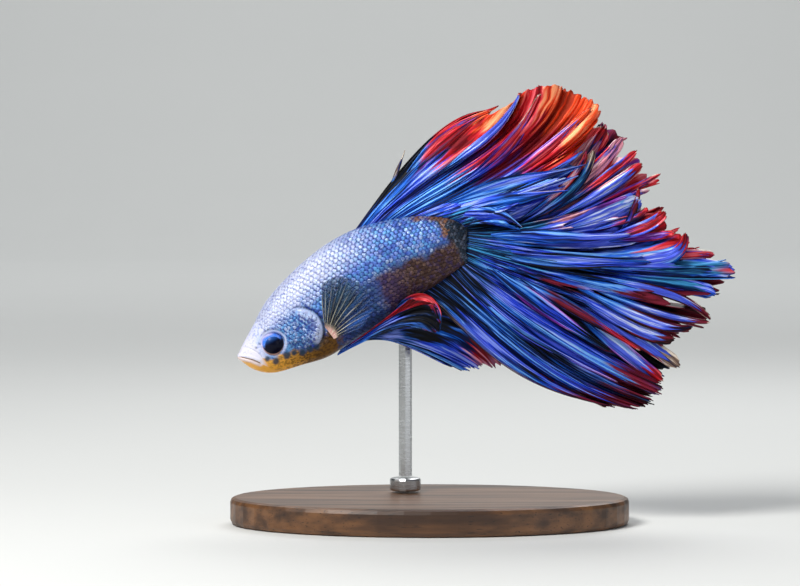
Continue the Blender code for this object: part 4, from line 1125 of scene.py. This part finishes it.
def make_sheet(fin, columns, rows, span=(0, 1), edge=None, out=0.0, folds=5, fold_depth=1.5,
               overhang=0.012, pleats=40, pleat_height=0.25, phase=0.0, side=1, blunt=0.0, curl=0.006,
               fringe=0.034, web=None):
    """One web of a fin: a grid laid along its rays, thrown into folds and pleats, with ragged tips."""
    piece, grid = start_grid("web", columns, rows)
    local, share = ((grid[:, way].astype(float) + 1) / 2 for way in (0, 1))
    s = span[0] + (span[1] - span[0]) * local
    whole = EDGES[fin.split("_")[-1]]
    tip = finger_reach(edge, local) if blunt else finger_reach(whole, s)
    tufts = np.abs(np.sin(math.pi * (pleats * 1.6 * s + ripple(s, (5, 0.1), (9, 0.7)))))
    tip = tip - fringe * (1 - tufts + 0.35 * ripple(s, (61, 0.2), (97, 0.5))) * smooth(share, 0.6, 1)
    if blunt:
        tip = tip * np.sin(math.pi * np.clip(local, 0.02, 0.98)) ** blunt
    reach = share * tip
    turn = 2 * math.pi * (folds * local + phase + 0.12 * ripple(local, (1.3, 0.1), (2.1, 0.6))
                          + 0.10 * np.sin(3.0 * reach + 5 * local))
    grown = reach**1.2
    ends = smooth(local, 0, 0.04) * (1 - smooth(local, 0.96, 1))
    shift = (curl * reach**4 * ripple(s, (13, 0.3), (21, 0.9)) - overhang * grown * np.sin(2 * turn)) * ends
    root, throw = root_and_throw(fin, s, reach, side)
    small = 2 * math.pi * (pleats * s + 0.3 * ripple(s, (7, 0.3), (11, 0.8)))
    creases = 2 * math.pi * (pleats * 0.37 * s + 0.5 * ripple(s, (3, 0.2), (5, 0.4)) + 0.15 * reach)
    throw = throw + side * out * reach**0.5 + fold_depth * grown * np.sin(turn) \
        + pleat_height * reach**0.9 * (np.sin(small) + 1.6 * np.sin(creases))
    set_points(piece, ray_points(fin, s + shift, reach, throw, root))
    # Painted light and shade of the folds and pleats: lighter where they bulge towards the fish's left, which
    # faces the lamps, and darker in the hollows between them.
    hollow = -side * (0.6 * np.sin(turn) + 0.25 * np.sin(small) + 0.5 * np.sin(creases))
    note(piece, "ray", s * pleats, share, hollow)
    amounts = {pigment: np.zeros(len(s)) for pigment in PIGMENTS}
    uneven = 0.14 * ripple(s, (37, 0.1), (53, 0.6), (71, 0.3), (19, 0.8), (8, 0.2))
    place = reach / np.maximum(np.interp(s, *np.array(whole).T), 0.3) if blunt else share
    for pigment, s_from, s_to, r_from, r_to, strength in ZONES[fin]:
        inside = smooth(s, s_from - 0.03, s_from + 0.03) * (1 - smooth(s, s_to - 0.03, s_to + 0.03)) \
            * smooth(place + uneven, r_from - 0.12, r_from + 0.12) \
            * (1 - smooth(place - uneven, r_to - 0.12, r_to + 0.12))
        amounts[pigment] = np.maximum(amounts[pigment], strength * inside)
    return finish_web(piece, amounts, local, share, web)


def make_finger(index, row, wander):
    """One finger or ridge of a fin: a narrow rolled lobe along a curved line."""
    places, width, from_y, to_y, point = np.array(row[:8]).reshape(4, 2), *row[8:12]
    piece, grid = start_grid("finger", 30, 42)
    across, along = grid[:, 0].astype(float), (grid[:, 1].astype(float) + 1) / 2
    ragged = wander.uniform(0, 1, 3)
    notch = np.abs(np.sin(math.pi * (2.2 * across + ragged[0]))) * 0.03 \
        + 0.02 * np.abs(np.sin(math.pi * (5.1 * across + ragged[1])))
    b = along * (1 - (notch + 0.10 * across**2) * (1 - point) * smooth(along, 0.6, 1))
    rest = 1 - b
    middle = np.stack(curve_weights(b), 1) @ places
    slope = np.stack([-(rest**2), rest**2 - 2 * rest * b, 2 * rest * b - b**2, b**2], 1) @ places
    slope /= np.linalg.norm(slope, axis=1)[:, None]
    half = width * (0.06 + 0.94 * smooth(b, -0.1, 0.5)) * (1 - point * smooth(b, 0.45, 1.02)) \
        * (1 - (1 - point) * smooth(b, 0.86, 1.05) * 0.6)
    roll, lean, twist = wander.uniform(-0.2, 0.6), wander.uniform(-0.45, 0.45), wander.uniform(-0.5, 0.3)
    rays = across * width * 1.1
    pleat = np.sin(2 * math.pi * rays + 6 * ragged[0])
    y = from_y + (to_y - from_y) * b**0.8 + roll * half * across**2 + (lean + twist * b) * half * across
    y += 0.25 * np.sin(2 * math.pi * (1.6 * b + ragged[2])) * b + 0.07 * pleat * smooth(b, 0, 0.3)
    y += 0.9 * (1 - smooth(b, 0.0, 0.32))  # a finger rises slowly out of the web
    over = across * half
    set_points(piece, np.stack([middle[:, 0] - slope[:, 1] * over, y, middle[:, 1] + slope[:, 0] * over], 1))
    # Painted light and shade of the finger: lighter on one side of its roll and on its pleats, darker where
    # it rises out of the web.
    height = 0.7 * np.sin(2.6 * (across - lean + 0.3 * np.sin(5 * b))) + 0.4 * pleat + 0.3 \
        - 1.2 * (1 - smooth(b, 0.0, 0.2))
    note(piece, "ray", 3.0 * index + rays, 0.3 + 0.7 * along, height)

    inner, edge, tip = row[12:]
    at_edge = smooth(np.abs(across), 0.55, 0.85) * smooth(along, 0.2, 0.5)
    at_tip = smooth(along + 0.08 * np.sin(9 * across + 6 * ragged[1]), 0.7, 0.86)
    rim = np.maximum(smooth(np.abs(across), 0.93, 1.0), smooth(along, 0.97, 1.0)) * smooth(along, 0.5, 0.8)
    amounts = {pigment: np.zeros(len(b)) for pigment in PIGMENTS}
    for pigment, amount in ((inner, 0.75 * (1 - at_edge) * (1 - at_tip) * smooth(b, 0.08, 0.4)),
                            (edge, at_edge * (1 - 0.6 * at_tip)), (tip, 0.8 * at_tip),
                            ("cream", 0.35 * rim), ("tan", 0.5 * rim)):
        if pigment:
            amounts[pigment] = np.maximum(amounts[pigment], amount)
    return finish_web(piece, amounts, (across + 1) / 2, along)


def mount_fin(name, material, node, sheets, slot="fin"):
    """Joins a fin's webs into one piece, each with its own tile of the bake map, in place of a node."""
    tiles = math.ceil(math.sqrt(len(sheets)))
    for index, sheet in enumerate(sheets):
        layer = sheet.data.uv_layers[BAKE_MAP].data
        layer.foreach_set("uv", ((read(layer, "uv", 2) + (index % tiles, index // tiles)) / tiles).ravel())
    select(*sheets)
    if len(sheets) > 1:
        bpy.ops.object.join()
    piece = bpy.context.object
    piece.name = piece.data.name = name
    dress(piece, material, slot, node)


def make_fingers(fin, name, material, node):
    """All of a fin's fingers as one piece."""
    wander = np.random.default_rng(11)
    rows = enumerate(FINGERS[fin])
    mount_fin(name, material, node, [make_finger(index, row, wander) for index, row in rows])


def make_tail(material):
    """The tail fin's web, the ruffles that lie over it and its fingers."""
    fins = props("fins")
    pleats = {"pleats": fins.pleats, "pleat_height": fins.pleat_height / MM}
    mount_fin("tail_fin", material, "caudal_fin", [make_sheet(
        "caudal", fins.columns, fins.rows, folds=8, fold_depth=1.5, overhang=0.02, **pleats)])
    ruffles = [
        # span across the fin, reach of its tip, side throw, where its folds start
        ((0.16, 0.37), 0.84, -1.5, 0.1),
        ((0.34, 0.52), 0.93, -1.9, 0.4),
        ((0.52, 0.68), 0.86, -1.2, 0.7),
        ((0.64, 0.8), 0.62, -1.9, 0.2),
        ((0.74, 0.95), 0.88, -1.6, 0.55),
    ]
    ragged = np.array([(0, 0.7), (0.14, 1), (0.24, 0.78), (0.4, 1), (0.52, 0.82), (0.68, 0.98), (0.8, 0.76),
                       (0.9, 0.9), (1.0, 0.7)])
    mount_fin("tail_fin_ruffles", material, "caudal_fin", [make_sheet(
        "caudal", 130, 60, span=span, edge=ragged * (1, far), out=out, folds=2.5, fold_depth=0.9,
        overhang=0.012, phase=phase, blunt=0.25, curl=0.01, **pleats) for span, far, out, phase in ruffles])
    make_fingers("caudal", "tail_fin_fingers", material, "caudal_fin")


def make_median_fins(material):
    """The back fin with its rear ruffle and fingers, and the belly fin."""
    edge = [(0, 0.9), (0.25, 1.0), (0.4, 0.8), (0.6, 1.02), (0.75, 0.7), (1.0, 0.7)]
    mount_fin("back_fin", material, "dorsal_fin", [
        make_sheet("dorsal", 320, 76, folds=6, fold_depth=1.1, overhang=0.016, pleats=34, pleat_height=0.26,
                   fringe=0.014),
        make_sheet("dorsal", 120, 60, span=(0.5, 0.9), edge=edge, out=-1.3, folds=2, fold_depth=0.7,
                   pleats=34, pleat_height=0.22, blunt=0.2)])
    make_fingers("dorsal", "back_fin_fingers", material, "dorsal_fin")
    mount_fin("belly_fin", material, "anal_fin", [make_sheet(
        "anal", 240, 76, folds=4, fold_depth=1.0, overhang=0.02, pleats=26, pleat_height=0.26, phase=0.2)])


def make_paired_fins(material, clear):
    """The two ventral fins, the near one's hooked tip, and the two side fins."""
    mount_fin("ventral_fin_left", material, "pelvic_fin_left", [make_sheet(
        "near_pelvic", 70, 60, folds=1, fold_depth=0.35, overhang=0.0, pleats=9, pleat_height=0.12)])
    mount_fin("ventral_fin_right", material, "pelvic_fin_right", [make_sheet(
        "far_pelvic", 90, 60, folds=2, fold_depth=0.5, overhang=0.01, pleats=14, pleat_height=0.16)])
    make_fingers("near_pelvic", "ventral_fin_left_hook", material, "pelvic_fin_left")
    for side, word in SIDES:
        mount_fin(f"side_fin_{word}", clear, f"pectoral_fin_{word}", [make_sheet(
            "pectoral", 140, 48, folds=3, fold_depth=0.25, overhang=0.0, pleats=11, pleat_height=0.09,
            side=side, web=props("fins").side_web)], "clear_fin")


# ---------------------------------------------------------------- stage


def hang(data, place, way):
    """Puts a lamp or camera in the scene, looking along a way."""
    holder = bpy.data.objects.new(data.name, data)
    bpy.context.scene.collection.objects.link(holder)
    holder.location = place
    holder.rotation_euler = Vector(way).to_track_quat("-Z", "Y").to_euler()
    return holder


def make_backdrop(paper):
    """A long sheet that turns up well behind the fish, so a camera can go all the way round inside it."""
    floor, _ = start_grid("backdrop", 8, 96)
    front, flat, radius, length, half_width = -5.0, 6.3, 0.5, 8.2, 5
    curve = radius * math.pi / 2
    for vertex in floor.data.vertices:
        run = (vertex.co.y + 1) / 2 * length  # metres along the sheet from its front edge
        bend = max(0.0, min(run - flat, curve)) / radius
        vertex.co = (vertex.co.x * half_width, front + min(run, flat) + radius * math.sin(bend),
                     radius * (1 - math.cos(bend)) + max(0.0, run - flat - curve))
    floor.data.materials.append(paper)
    floor.data.shade_smooth()


def make_stage():
    """Backdrop, soft studio lamps, a faint sky and the camera."""
    stage = props("stage")
    make_backdrop(make_paper(stage))
    lamps = {
        # place, what it faces, watts, width, colour
        "key": ((-0.22, -0.26, 0.36), (0.0, 0.0, 0.045), 2.3, 0.2, (1.0, 0.98, 0.95)),
        "fill": ((0.34, -0.3, 0.12), (0.0, 0.0, 0.045), 0.32, 0.3, (0.95, 0.97, 1.0)),
        "rim": ((0.1, 0.28, 0.3), (0.0, 0.0, 0.045), 0.35, 0.2, (1.0, 1.0, 1.0)),
        "wash": ((0.0, 1.0, 1.1), (0.0, 1.1, 0.0), 9.0, 1.2, (1.0, 1.0, 1.0)),
    }
    for name, (place, aim, power, width, tint) in lamps.items():
        light = bpy.data.lights.new(name, "AREA")
        light.shape = "DISK"
        light.energy, light.size, light.color = power, width, tint
        hang(light, place, Vector(aim) - Vector(place))
    world = bpy.data.worlds.new("studio")
    world.use_nodes = True
    sky = world.node_tree.nodes["Background"]
    sky.inputs["Color"].default_value = (*srgb("#e8ecf0"), 1)
    sky.inputs["Strength"].default_value = 0.16
    bpy.context.scene.world = world
    bpy.context.scene.view_settings.view_transform = "Standard"

    lens = bpy.data.cameras.new("camera")
    lens.lens, lens.sensor_width = stage.lens, 36
    aim = Vector((-0.0049, 0, 0.0382))  # the middle of the view
    way = Vector((0, math.cos(stage.elevation), -math.sin(stage.elevation)))
    bpy.context.scene.camera = hang(lens, aim - way * stage.distance, way)


# ---------------------------------------------------------------- the add-on


class BETTA_OT_body(bpy.types.Operator):
    """Make the skin and its scale coat"""
    bl_idname = "betta.body"
    bl_label = "Skin and scales"

    def execute(self, context):
        make_skin(make_skin_material(props("skin")))
        make_scales(make_scale_material(props("skin")))
        return {"FINISHED"}


class BETTA_OT_eyes(bpy.types.Operator):
    """Make the eyes"""
    bl_idname = "betta.eyes"
    bl_label = "Eyes"

    def execute(self, context):
        make_eyes(make_eye_material(props("eyes")))
        return {"FINISHED"}


class BETTA_OT_fins(bpy.types.Operator):
    """Make the seven fins"""
    bl_idname = "betta.fins"
    bl_label = "Fins"

    def execute(self, context):
        fins = props("fins")
        web = make_fin_material(fins)
        make_tail(web)
        make_median_fins(web)
        make_paired_fins(web, make_clear_fin_material(fins))
        return {"FINISHED"}


class BETTA_OT_stand(bpy.types.Operator):
    """Finish the display stand"""
    bl_idname = "betta.stand"
    bl_label = "Stand"

    def execute(self, context):
        finishes = {"stand_base": make_walnut(), "stand_rod": make_steel()}
        finishes["stand_collar"] = finishes["stand_rod"]
        for node, material in finishes.items():
            for holder in bpy.data.objects[node].material_slots:
                holder.material = material
        return {"FINISHED"}


class BETTA_OT_stage(bpy.types.Operator):
    """Make the backdrop, lamps and camera"""
    bl_idname = "betta.stage"
    bl_label = "Stage"

    def execute(self, context):
        make_stage()
        return {"FINISHED"}


class BETTA_PT_panel(bpy.types.Panel):
    """Lists the fish's pieces"""
    bl_idname = "BETTA_PT_panel"
    bl_label = "Betta"
    bl_space_type = "VIEW_3D"
    bl_region_type = "UI"
    bl_category = "Betta"

    def draw(self, context):
        for operator in OPERATORS:
            self.layout.operator(operator.bl_idname)


OPERATORS = (BETTA_OT_body, BETTA_OT_eyes, BETTA_OT_fins, BETTA_OT_stand, BETTA_OT_stage)
GROUPS = {"betta_body": BettaBody, "betta_skin": BettaSkinColours, "betta_fins": BettaFins,
          "betta_eyes": BettaEyes, "betta_stage": BettaStage}


def register():
    """Registers the groups, the operators and the panel."""
    for group in (*GROUPS.values(), *OPERATORS, BETTA_PT_panel):
        bpy.utils.register_class(group)
    for name, group in GROUPS.items():
        setattr(bpy.types.Scene, name, PointerProperty(type=group))


def unregister():
    """Takes them all out again."""
    for name in GROUPS:
        delattr(bpy.types.Scene, name)
    for group in (BETTA_PT_panel, *OPERATORS, *GROUPS.values()):
        bpy.utils.unregister_class(group)


def main():
    """Builds everything in order."""
    register()
    bpy.ops.betta.body()
    bpy.ops.betta.eyes()
    bpy.ops.betta.fins()
    bpy.ops.betta.stand()
    bpy.ops.betta.stage()


if __name__ == "__main__":
    main()
